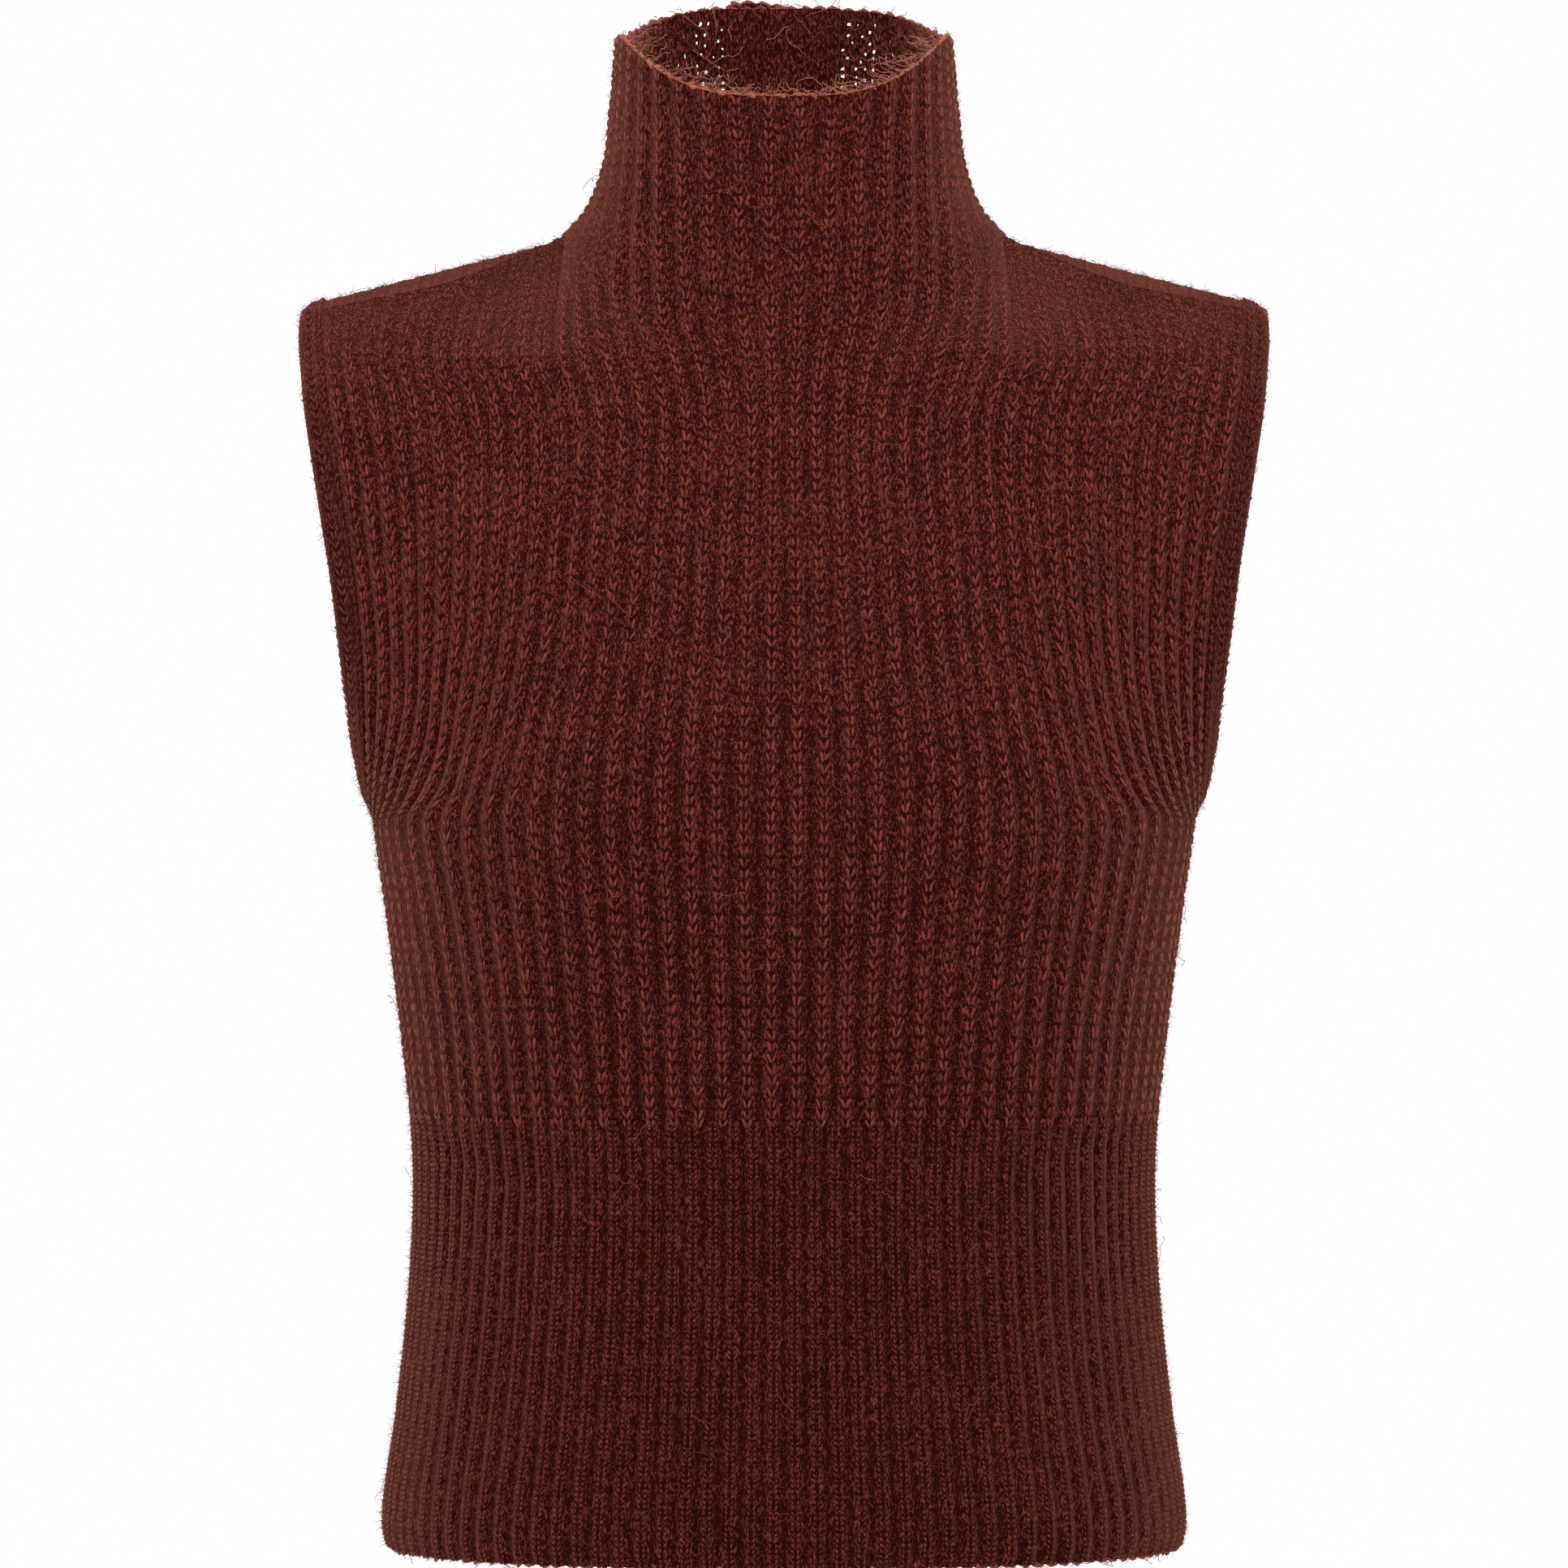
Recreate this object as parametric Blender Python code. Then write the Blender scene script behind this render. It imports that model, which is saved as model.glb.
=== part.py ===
"""A sleeveless funnel-neck vest in thick ribbed wool, hollow and filled out as when it is worn.

Metres, +Z up. The front faces -Y and the wearer's left is +X. The origin is midway between the two points
where the shoulders meet the neck. Each piece is a wall of cloth that is plain inside, with the knitted
ribs raised on its outside.
"""

import math
from collections import namedtuple

import bpy
import numpy as np
from mathutils import Vector

# ---- Driving dimensions ----
WALL = 0.0022  # cloth between the inside and the bottom of a groove
RIB_RISE = 0.0018  # height of a rib over its grooves
SEAM_GAP = 0.0003  # between two pieces that are sewn together
BODY_RIBS = 44  # across the front, and across the back
NECK_RIBS = 20  # of those, the ones that run on up into the neck
WAIST_RIBS = 52  # across each half of the fine rib at the waist
OVERLAP_RIBS = 2  # each back half of the neck runs on past the centre by this many ribs
COLUMNS_PER_RIB = 2  # a ridge and a groove
FULL_RIB_SPACING = 0.0036  # columns closer together than this make lower ribs
NORMAL_PASSES = 3  # of smoothing of the way that the cloth faces
INNER_STRIDE = 4  # the plain inside has one column for this many outside

NECK_HALF = 0.0970  # from the centre to where the shoulder meets the neck
NECK_POINT_Y = -0.0080
NECK_POINT_Z = -0.0010
SHOULDER_SLOPE = 0.255  # fall of the shoulder's crest along its length
CREST_Y = 0.0020
CREST_SINK = 0.0010  # leaves room for the ribs over the crest
WAIST_LINE_Z = -0.3880  # where the body's rib changes to the finer one

BAND_WIDTH = 0.0125  # the armhole's knitted edging, lying flat
BAND_THICK = 0.0046
BAND_SIDES = 8
BAND_DROOP = 0.30  # how far the edging hangs over the end of the shoulder
BAND_DROOP_FROM = -0.0750  # the height where it starts to hang
BAND_DROOP_OVER = 0.0450  # and how much higher it hangs in full
BAND_PASSES = 4  # of smoothing of the way that it points

LAP_FROM = 0.36  # the share of a back half's width where it starts to part from the other
LAP_FULL = 0.62  # and where it has parted
LAP_PLAY = 0.0002  # more room between the two halves than a seam has
LAP_LIFT = 0.0030  # the lapped end of the neck's edge stands up by this much
LAP_LIFT_AT = 0.93  # the share of the width where it stands highest
LAP_LIFT_SPREAD = 0.10

CLOTH_ROUGHNESS = 0.95
PANEL_COLOUR = (0.078, 0.017, 0.012)
WAIST_COLOUR = (0.062, 0.013, 0.009)
BAND_COLOUR = (0.090, 0.023, 0.017)

# One row for each section of a body panel, from the waist up. A section runs from the centre, at z_mid and
# y_mid, to the panel's edge at half, y_edge and z_edge. turn is how far it has turned from facing forward
# when it gets there, square is its squareness (2 is an ellipse), ease spreads the ribs towards the centre,
# and steps is the number of rows of faces up to the next section.
Section = namedtuple("Section", "z_mid z_edge y_mid half y_edge turn square ease steps")
SIDE = SEAM_GAP / 2
FRONT = [
    Section(WAIST_LINE_Z, WAIST_LINE_Z, -0.1080, 0.1638, -SIDE, 90, 2.25, 0.05, 2),
    Section(-0.3420, -0.3440, -0.1145, 0.1688, -SIDE, 90, 2.30, 0.03, 1),
    Section(-0.2970, -0.3020, -0.1212, 0.1740, -SIDE, 90, 2.40, 0.02, 1),
    Section(-0.2540, -0.2603, -0.1245, 0.1797, -SIDE, 90, 2.50, 0.01, 1),
    Section(-0.2320, -0.2530, -0.1232, 0.1812, -0.0250, 84, 2.40, 0.11, 1),
    Section(-0.2080, -0.2350, -0.1190, 0.1822, -0.0450, 76, 2.20, 0.17, 1),
    Section(-0.1720, -0.2000, -0.1108, 0.1832, -0.0620, 68, 2.05, 0.16, 1),
    Section(-0.1310, -0.1550, -0.1005, 0.1870, -0.0700, 62, 2.00, 0.12, 1),
    Section(-0.0970, -0.1100, -0.0910, 0.1935, -0.0660, 60, 2.00, 0.05, 1),
    Section(-0.0750, -0.0760, -0.0850, 0.1990, -0.0550, 58, 2.00, 0.05, 1),
    Section(-0.0620, -0.0530, -0.0815, 0.2020, -0.0410, 56, 2.00, 0.10, 2),
]
BACK = [
    Section(WAIST_LINE_Z, WAIST_LINE_Z, 0.0880, 0.1638, SIDE, 90, 2.25, 0.05, 2),
    Section(-0.3430, -0.3440, 0.0842, 0.1688, SIDE, 90, 2.30, 0.03, 1),
    Section(-0.2990, -0.3020, 0.0845, 0.1740, SIDE, 90, 2.40, 0.02, 1),
    Section(-0.2550, -0.2603, 0.0880, 0.1797, SIDE, 90, 2.50, 0.01, 1),
    Section(-0.2350, -0.2515, 0.0905, 0.1787, 0.0250, 84, 2.30, 0.11, 1),
    Section(-0.2120, -0.2300, 0.0925, 0.1738, 0.0450, 76, 2.15, 0.15, 1),
    Section(-0.1750, -0.1920, 0.0940, 0.1665, 0.0620, 66, 2.00, 0.14, 1),
    Section(-0.1350, -0.1480, 0.0915, 0.1660, 0.0680, 60, 2.00, 0.12, 1),
    Section(-0.0950, -0.1040, 0.0845, 0.1745, 0.0635, 58, 2.00, 0.06, 1),
    Section(-0.0600, -0.0680, 0.0750, 0.1890, 0.0500, 56, 2.00, 0.02, 1),
    Section(-0.0320, -0.0440, 0.0680, 0.1985, 0.0290, 54, 2.00, 0.00, 1),
]

UNDERARM_SECTION = 3  # of both tables: the side seam ends there and the armhole begins
SECTION_RISE = 2.0  # a section leaves its z_mid slowly, and climbs or falls faster at its edge
CREST_STEPS = 2  # rows of faces from the shoulder's crest to the seam in front of it

# The back's section at the crest, in the stretch that lies below the neck: half is its width to each side.
CrestNeck = namedtuple("CrestNeck", "half y_mid y_edge z_mid z_edge square")
CREST_NECK = CrestNeck(0.0985, 0.0635, 0.0120, -0.0140, -0.0042, 2.10)

# One row for each ring of the neck, from its base up.
Ring = namedtuple("Ring", "z_front z_side z_back half y_front y_back square ease steps")
NECK = [
    Ring(-0.0490, NECK_POINT_Z, NECK_POINT_Z, NECK_HALF, -0.0785, 0.0600, 2.10, -0.17, 2),
    Ring(-0.0240, 0.0110, 0.0200, 0.0862, -0.0745, 0.0560, 2.20, -0.03, 1),
    Ring(0.0000, 0.0270, 0.0380, 0.0796, -0.0716, 0.0530, 2.30, 0.08, 1),
    Ring(0.0290, 0.0550, 0.0700, 0.0756, -0.0708, 0.0510, 2.40, 0.13, 2),
    Ring(0.0555, 0.0870, 0.1050, 0.0728, -0.0715, 0.0520, 2.50, 0.18, 0),
]
# The rim stays low across the middle and climbs, or falls, towards the sides: higher is later.
NECK_RISE_FRONT = 3.2
NECK_RISE_BACK = 4.0
BASE_SOFTNESS = 0.5  # how far the front's neck base is drawn towards the rows below and above it

# One row for each ring of the fine rib, from the hem up.
WaistRing = namedtuple("WaistRing", "z half y_front y_back square steps")
WAIST_EASE = 0.04  # spreads the ribs a little towards the centre
WAIST = [
    WaistRing(-0.5800, 0.1742, -0.1150, 0.1165, 2.30, 1),
    WaistRing(-0.5710, 0.1762, -0.1168, 0.1182, 2.30, 2),
    WaistRing(-0.5200, 0.1700, -0.1125, 0.1120, 2.25, 1),
    WaistRing(-0.4700, 0.1648, -0.1085, 0.1025, 2.20, 1),
    WaistRing(-0.4200, 0.1625, -0.1065, 0.0925, 2.20, 1),
    WaistRing(WAIST_LINE_Z - SEAM_GAP, 0.1638, -0.1080, 0.0880, 2.25, 0),
]

# The seam that joins front to back runs forward of the shoulder's crest.
SeamPoint = namedtuple("SeamPoint", "x y z")
SHOULDER_SEAM = [
    SeamPoint(NECK_HALF, NECK_POINT_Y, NECK_POINT_Z),
    SeamPoint(0.1050, -0.0125, -0.0050),
    SeamPoint(0.1180, -0.0205, -0.0108),
    SeamPoint(0.1340, -0.0305, -0.0182),
    SeamPoint(0.1500, -0.0350, -0.0240),
    SeamPoint(0.1770, -0.0325, -0.0295),
    SeamPoint(0.2030, -0.0265, -0.0345),
]

BODY_HALF_COLUMNS = BODY_RIBS * COLUMNS_PER_RIB // 2
NECK_HALF_COLUMNS = NECK_RIBS * COLUMNS_PER_RIB // 2
WAIST_HALF_COLUMNS = WAIST_RIBS * COLUMNS_PER_RIB // 2
OUTLINE_SAMPLES = 240
SEAM_SAMPLES = 12
UNDERARM_ROW = sum(s.steps for s in FRONT[:UNDERARM_SECTION])


# ---- Curves ----
def along(points, fractions):
    """Points at these fractions of a polyline's length."""
    lengths = np.r_[0, np.cumsum(np.linalg.norm(np.diff(points, axis=0), axis=1))]
    wanted = np.asarray(fractions) * lengths[-1]
    return np.column_stack([np.interp(wanted, lengths, points[:, axis]) for axis in range(3)])


def quarter(half, y_mid, y_edge, z_mid, z_edge, turn, square, rise):
    """A section from the centre to its edge, as a fine polyline."""
    angle = np.linspace(0, math.radians(turn), OUTLINE_SAMPLES)
    power = 2 / square
    across = np.abs(np.sin(angle)) ** power
    back = 1 - np.abs(np.cos(angle)) ** power
    x = half * across / across[-1]
    y = y_mid + (y_edge - y_mid) * back / back[-1]
    z = z_mid + (z_edge - z_mid) * (x / half) ** rise
    return np.column_stack([x, y, z])


def eased(count, ease):
    """Fractions from the centre to the edge, with wider steps at the centre."""
    share = np.linspace(0, 1, count + 1)
    return share + ease / math.pi * np.sin(math.pi * share)


def whole(half_row):
    """A row from edge to edge, from the half that runs from the centre to +X."""
    return np.concatenate([half_row[:0:-1] * (-1, 1, 1), half_row])


def smooth_curve(points, samples):
    """A smooth polyline through a few points."""
    return spline(np.asarray(points)[:, None, :], [samples] * (len(points) - 1) + [0])[:, 0]


def spline(keys, steps):
    """Rows that run smoothly through the key rows and never past them, with so many steps after each one."""
    keys = np.asarray(keys, float)
    gaps = np.linalg.norm(np.diff(keys, axis=0), axis=2).mean(axis=1)
    slopes = np.diff(keys, axis=0) / gaps[:, None, None]
    tangents = np.empty_like(keys)
    tangents[0], tangents[-1] = slopes[0], slopes[-1]
    for k in range(1, len(keys) - 1):
        before, after = gaps[k - 1], gaps[k]
        level_out = slopes[k - 1] * slopes[k] <= 0
        tangents[k] = np.where(level_out, 0, (slopes[k - 1] * after + slopes[k] * before) / (before + after))
    rows = []
    for k in range(len(keys) - 1):
        for t in np.arange(steps[k]) / steps[k]:
            rows.append(
                keys[k] * (2 * t**3 - 3 * t**2 + 1)
                + tangents[k] * gaps[k] * (t**3 - 2 * t**2 + t)
                + keys[k + 1] * (3 * t**2 - 2 * t**3)
                + tangents[k + 1] * gaps[k] * (t**3 - t**2)
            )
    rows.append(keys[-1])
    return np.array(rows)


# ---- Rows of a panel ----
def body_row(section):
    outline = quarter(
        section.half, section.y_mid, section.y_edge, section.z_mid, section.z_edge,
        section.turn, section.square, SECTION_RISE,
    )
    return whole(along(outline, eased(BODY_HALF_COLUMNS, section.ease)))


def neck_outline(ring, front):
    """A quarter of a neck ring, from its middle to the side of the neck."""
    y_mid, z_mid, rise = (
        (ring.y_front, ring.z_front, NECK_RISE_FRONT)
        if front
        else (ring.y_back, ring.z_back, NECK_RISE_BACK)
    )
    side_y = NECK_POINT_Y + (-SIDE if front else SIDE)
    return quarter(ring.half, y_mid, side_y, z_mid, ring.z_side, 90, ring.square, rise)


def neck_row(ring, front):
    return whole(along(neck_outline(ring, front), eased(NECK_HALF_COLUMNS, ring.ease)))


def shoulder_half():
    """The shoulder seam, from the neck to the armhole, without its first point."""
    curve = smooth_curve(SHOULDER_SEAM, SEAM_SAMPLES)
    return along(curve, eased(BODY_HALF_COLUMNS - NECK_HALF_COLUMNS, 0))[1:]


def crest_half():
    """The top of the shoulder, from beside the neck to the armhole, where the back passes over it."""
    seam = shoulder_half()
    x = seam[:, 0]
    z = NECK_POINT_Z - CREST_SINK - SHOULDER_SLOPE * (x - NECK_HALF)
    return np.column_stack([x, np.full_like(x, CREST_Y), z])


def top_row(front):
    """The last full row: the shoulder seams, and the base of the neck between them."""
    neck = along(neck_outline(NECK[0], front), eased(NECK_HALF_COLUMNS, NECK[0].ease))
    seam = shoulder_half()
    if not front:
        neck = neck - (0, 0, SEAM_GAP / 2)
    shift = (0, -SIDE, -SIDE / 2) if front else (0, SIDE, SIDE / 2)
    return whole(np.concatenate([neck, seam + shift]))


def crest_row():
    """The row of the back that lies on the shoulder's crest and just below the neck."""
    neck = quarter(
        CREST_NECK.half, CREST_NECK.y_mid, CREST_NECK.y_edge, CREST_NECK.z_mid, CREST_NECK.z_edge,
        90, CREST_NECK.square, SECTION_RISE,
    )
    neck = along(neck, eased(NECK_HALF_COLUMNS, NECK[0].ease))
    return whole(np.concatenate([neck, crest_half()]))


# ---- Walls of cloth ----
def normals_of(grid, there):
    """Outward unit normals of a grid of points, of which only some are there."""
    filled = np.where(there[..., None], grid, np.nan)

    def difference(axis):
        ahead = np.diff(filled, axis=axis)
        pad = [(0, 0)] * 3
        pad[axis] = (0, 1)
        forward = np.pad(ahead, pad, constant_values=np.nan)
        pad[axis] = (1, 0)
        backward = np.pad(ahead, pad, constant_values=np.nan)
        both = np.stack([forward, backward])
        known = ~np.isnan(both)
        return np.where(known, both, 0).sum(axis=0) / np.maximum(known.sum(axis=0), 1)

    normal = unit(np.cross(difference(1), difference(0)))
    for _ in range(NORMAL_PASSES):
        padded = np.pad(np.where(there[..., None], normal, 0), ((1, 1), (1, 1), (0, 0)))
        around = padded[:-2, 1:-1] + padded[2:, 1:-1] + padded[1:-1, :-2] + padded[1:-1, 2:]
        normal = unit(2 * padded[1:-1, 1:-1] + around)
    return normal


def unit(vectors):
    """The same directions with a length of 1."""
    length = np.linalg.norm(vectors, axis=-1, keepdims=True)
    return vectors / np.maximum(length, 1e-9)


def panel_wall(name, grid, normal, cells, stride, colour):
    """A closed wall over a grid: ribs raised outside, plain inside. cells says which coarse cells exist."""
    columns = grid.shape[1]
    spacing = np.linalg.norm(np.gradient(grid, axis=1), axis=2)
    flatter = np.clip(spacing / FULL_RIB_SPACING, 0, 1)
    ridge = (np.arange(columns) % COLUMNS_PER_RIB) * flatter * RIB_RISE
    outside = grid + normal * ridge[..., None]
    inside = (grid - normal * WALL)[:, ::stride]
    points, index = [], {}

    def point(layer, r, c):
        key = (layer, r, c)
        if key not in index:
            index[key] = len(points)
            points.append(tuple((outside if layer else inside)[r, c]))
        return index[key]

    def exists(r, c):
        return 0 <= r < cells.shape[0] and 0 <= c < cells.shape[1] and cells[r, c]

    faces = []
    middle = stride // 2
    for r, c in zip(*np.nonzero(cells)):
        r, c = int(r), int(c)
        low = [point(1, r, c * stride + k) for k in range(stride + 1)]
        high = [point(1, r + 1, c * stride + k) for k in range(stride + 1)]
        a, b = point(0, r, c), point(0, r, c + 1)
        d, e = point(0, r + 1, c), point(0, r + 1, c + 1)
        faces += [(low[k], low[k + 1], high[k + 1], high[k]) for k in range(stride)]
        faces.append((a, d, e, b))
        if not exists(r - 1, c):
            faces += [(low[k + 1], low[k], a if k < middle else b) for k in range(stride)]
            faces.append((a, b, low[middle]))
        if not exists(r + 1, c):
            faces += [(high[k], high[k + 1], d if k < middle else e) for k in range(stride)]
            faces.append((e, d, high[middle]))
        if not exists(r, c - 1):
            faces.append((low[0], high[0], d, a))
        if not exists(r, c + 1):
            faces.append((high[-1], low[-1], b, e))
    mesh_object(name, points, faces, colour)


def mesh_object(name, points, faces, colour):
    mesh = bpy.data.meshes.new(name)
    mesh.from_pydata(points, [], faces)
    mesh.update()
    obj = bpy.data.objects.new(name, mesh)
    obj.data.materials.append(cloth_material(name, colour))
    garment.objects.link(obj)
    return obj


def cloth_material(name, colour):
    made = bpy.data.materials.new(name)
    made.use_nodes = True
    shader = made.node_tree.nodes["Principled BSDF"]
    shader.inputs["Base Color"].default_value = (*colour, 1)
    shader.inputs["Roughness"].default_value = CLOTH_ROUGHNESS
    shader.inputs["Metallic"].default_value = 0
    return made


def level(normal):
    """The same normals without their rise, so that two pieces meet on a flat plane."""
    return unit(normal * (1, 1, 0))


# ---- The pieces ----
def inward(count):
    """A share for each column of the neck: 1 across its middle, and falling to 0 at its two edges."""
    return (1 - np.linspace(-1, 1, count) ** 4)[:, None]


def softened(base, below, above):
    """The base of the neck, moved so that the ribs run on from the chest without a crease."""
    return base + BASE_SOFTNESS * inward(len(base)) * ((below + above) / 2 - base)


def front_grid():
    """Points of the front: its body, then the neck above its middle ribs."""
    keys = [body_row(s) for s in FRONT] + [top_row(True)]
    steps = [s.steps for s in FRONT] + [0]
    body_rows = sum(steps)
    sides = slice(BODY_HALF_COLUMNS - NECK_HALF_COLUMNS, BODY_HALF_COLUMNS + NECK_HALF_COLUMNS + 1)
    rings = [neck_row(r, True) for r in NECK[1:]]
    keys[-1][sides] = softened(keys[-1][sides], keys[-2][sides], rings[0])
    neck_keys = [k[sides] for k in keys] + rings
    middle = spline(neck_keys, steps[:-1] + [r.steps for r in NECK])
    grid = np.zeros((len(middle), len(keys[0]), 3))
    there = np.zeros(grid.shape[:2], bool)
    body = spline(keys, steps)
    body[:, sides] += inward(len(rings[0])) * (middle[: body_rows + 1] - body[:, sides])
    grid[:, sides] = middle
    grid[: body_rows + 1] = body
    there[: body_rows + 1] = True
    there[:, sides] = True
    return grid, there, body_rows


def back_grid():
    """Points of the back, over the crest of the shoulders to the seams."""
    keys = [body_row(s) for s in BACK] + [crest_row(), top_row(False)]
    steps = [s.steps for s in BACK] + [CREST_STEPS, 0]
    grid = spline(keys, steps)[:, ::-1]
    return grid, np.ones(grid.shape[:2], bool)


def make_body_panels():
    front, front_there, front_top = front_grid()
    back, back_there = back_grid()
    front_normal = normals_of(front, front_there)
    back_normal = normals_of(back, back_there)

    # Where two pieces meet they share one normal, so that their edges stay parallel.
    front_normal[0], back_normal[0] = level(front_normal[0]), level(back_normal[0])
    shoulder = BODY_HALF_COLUMNS - NECK_HALF_COLUMNS
    for low, high in ((0, shoulder + 1), (-shoulder - 1, None)):
        seam = unit(front_normal[front_top, low:high] + back_normal[-1, ::-1][low:high])
        front_normal[front_top, low:high] = seam
        back_normal[-1, ::-1][low:high] = seam
    between = slice(shoulder + 1, -shoulder - 1)
    back_normal[-1, between] = level(back_normal[-1, between])
    for edge in (shoulder, -shoulder - 1):
        outwards = np.array([np.sign(front[front_top, edge, 0]), 0, 0])
        front_normal[front_top + 1 :, edge] = outwards
        front_normal[front_top, edge] = back_normal[-1, ::-1][edge] = unit(outwards + (0, 0, 1))
    for r in range(UNDERARM_ROW + 1):
        for edge in (0, -1):
            outwards = np.array([np.sign(front[r, edge, 0]), 0, 0])
            front_normal[r, edge] = outwards
            back_normal[r, -1 - edge] = outwards
    cells = np.ones((front.shape[0] - 1, (front.shape[1] - 1) // INNER_STRIDE), bool)
    cells[front_top:, : shoulder // INNER_STRIDE] = False
    cells[front_top:, -shoulder // INNER_STRIDE :] = False
    upper_and_lower_wall("front_panel", front, front_normal, cells)
    cells = np.ones((back.shape[0] - 1, (back.shape[1] - 1) // INNER_STRIDE), bool)
    upper_and_lower_wall("back_panel", back, back_normal, cells)
    return front, front_top, back


def upper_and_lower_wall(name, grid, normal, cells):
    """One knitted panel as two solids that part at the height of the underarm, each a simpler form."""
    run = grid[UNDERARM_ROW + 1] - grid[UNDERARM_ROW - 1]
    upwards = unit(run - normal[UNDERARM_ROW] * (run * normal[UNDERARM_ROW]).sum(axis=1, keepdims=True))
    for half, rows, way in (("lower", slice(0, UNDERARM_ROW), -1), ("upper", slice(UNDERARM_ROW, None), 1)):
        parted = grid.copy()
        parted[UNDERARM_ROW] += way * SEAM_GAP / 2 * upwards
        kept = np.zeros_like(cells)
        kept[rows] = cells[rows]
        panel_wall(f"{name}_{half}", parted, normal, kept, INNER_STRIDE, PANEL_COLOUR)


def make_waist_rib(name, front):
    """Half of the fine rib, from side seam to side seam, down to the hem."""
    edge = -SIDE if front else SIDE
    keys = []
    for ring in WAIST:
        outline = quarter(
            ring.half, ring.y_front if front else ring.y_back, edge, ring.z, ring.z, 90, ring.square, 1.0
        )
        keys.append(whole(along(outline, eased(WAIST_HALF_COLUMNS, WAIST_EASE))))
    grid = spline(keys, [r.steps for r in WAIST])
    if not front:
        grid = grid[:, ::-1]
    normal = normals_of(grid, np.ones(grid.shape[:2], bool))
    normal[0], normal[-1] = level(normal[0]), level(normal[-1])
    for side in (0, -1):
        normal[:, side] = np.array([np.sign(grid[0, side, 0]), 0, 0])
    cells = np.ones((grid.shape[0] - 1, (grid.shape[1] - 1) // INNER_STRIDE), bool)
    panel_wall(name, grid, normal, cells, INNER_STRIDE, WAIST_COLOUR)


def lapped(share):
    """How far, from 0 to 1, a back half of the neck has moved to pass the other one."""
    t = np.clip((share - LAP_FROM) / (LAP_FULL - LAP_FROM), 0, 1)
    return t * t * (3 - 2 * t)


def back_neck_grid():
    """The +X back half of the neck, from the side seam to the lapped edge past the centre of the back."""
    columns = NECK_HALF_COLUMNS
    extra = OVERLAP_RIBS * COLUMNS_PER_RIB
    keys = []
    for ring in NECK:
        half_row = along(neck_outline(ring, False), eased(columns, ring.ease))
        half_row = half_row + (0, 0, SEAM_GAP / 2 if ring is NECK[0] else 0)
        past = half_row[1 : extra + 1] * (-1, 1, 1)
        keys.append(np.concatenate([half_row[::-1], past]))
    grid = spline(keys, [r.steps for r in NECK])
    normal = normals_of(grid, np.ones(grid.shape[:2], bool))
    normal[0] = level(normal[0])
    normal[:, 0] = np.array([1.0, 0, 0])
    share = np.linspace(0, 1, columns + extra + 1)
    return grid, normal, share


def make_back_neck_halves():
    """Two halves that lap at the centre of the back: the +X one outside, the -X one inside."""
    grid, normal, share = back_neck_grid()
    # One wall and the inner half's ribs lie between the two, with room to spare.
    apart = (WALL + RIB_RISE + SEAM_GAP + LAP_PLAY) / 2
    lap = lapped(share)[None, :, None] * apart
    over = grid + normal * lap
    over[-1, :, 2] += np.exp(-(((share - LAP_LIFT_AT) / LAP_LIFT_SPREAD) ** 2)) * LAP_LIFT
    under = grid - normal * lap
    cells = np.ones((grid.shape[0] - 1, (grid.shape[1] - 1) // COLUMNS_PER_RIB), bool)
    panel_wall("neck_back_over", over, normal, cells, COLUMNS_PER_RIB, PANEL_COLOUR)
    mirrored = under[:, ::-1] * (-1, 1, 1)
    mirrored_normal = normal[:, ::-1] * (-1, 1, 1)
    panel_wall("neck_back_under", mirrored, mirrored_normal, cells, COLUMNS_PER_RIB, PANEL_COLOUR)


def armhole_edge(front, front_top, back, side):
    """The edges of both panels round one armhole as a closed loop, and the way the cloth points there."""
    f, f_next = (-1, -2) if side > 0 else (0, 1)
    b, b_next = (0, 1) if side > 0 else (-1, -2)
    low = UNDERARM_ROW
    front_edge, front_in = front[low : front_top + 1, f], front[low : front_top + 1, f_next]
    back_edge, back_in = back[low:-1, b][::-1], back[low:-1, b_next][::-1]
    loop = np.concatenate([front_edge, back_edge[:-1]])
    away = np.concatenate([front_edge - front_in, (back_edge - back_in)[:-1]])
    run = unit(np.roll(loop, -1, axis=0) - np.roll(loop, 1, axis=0))
    away -= run * (away * run).sum(axis=1, keepdims=True)
    away[0] = (0, 0, 1)
    return loop, unit(away)


def with_midpoints(loop):
    """A closed loop with a point added in the middle of each side."""
    middles = (loop + np.roll(loop, -1, axis=0)) / 2
    return np.stack([loop, middles], axis=1).reshape(-1, 3)


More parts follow.
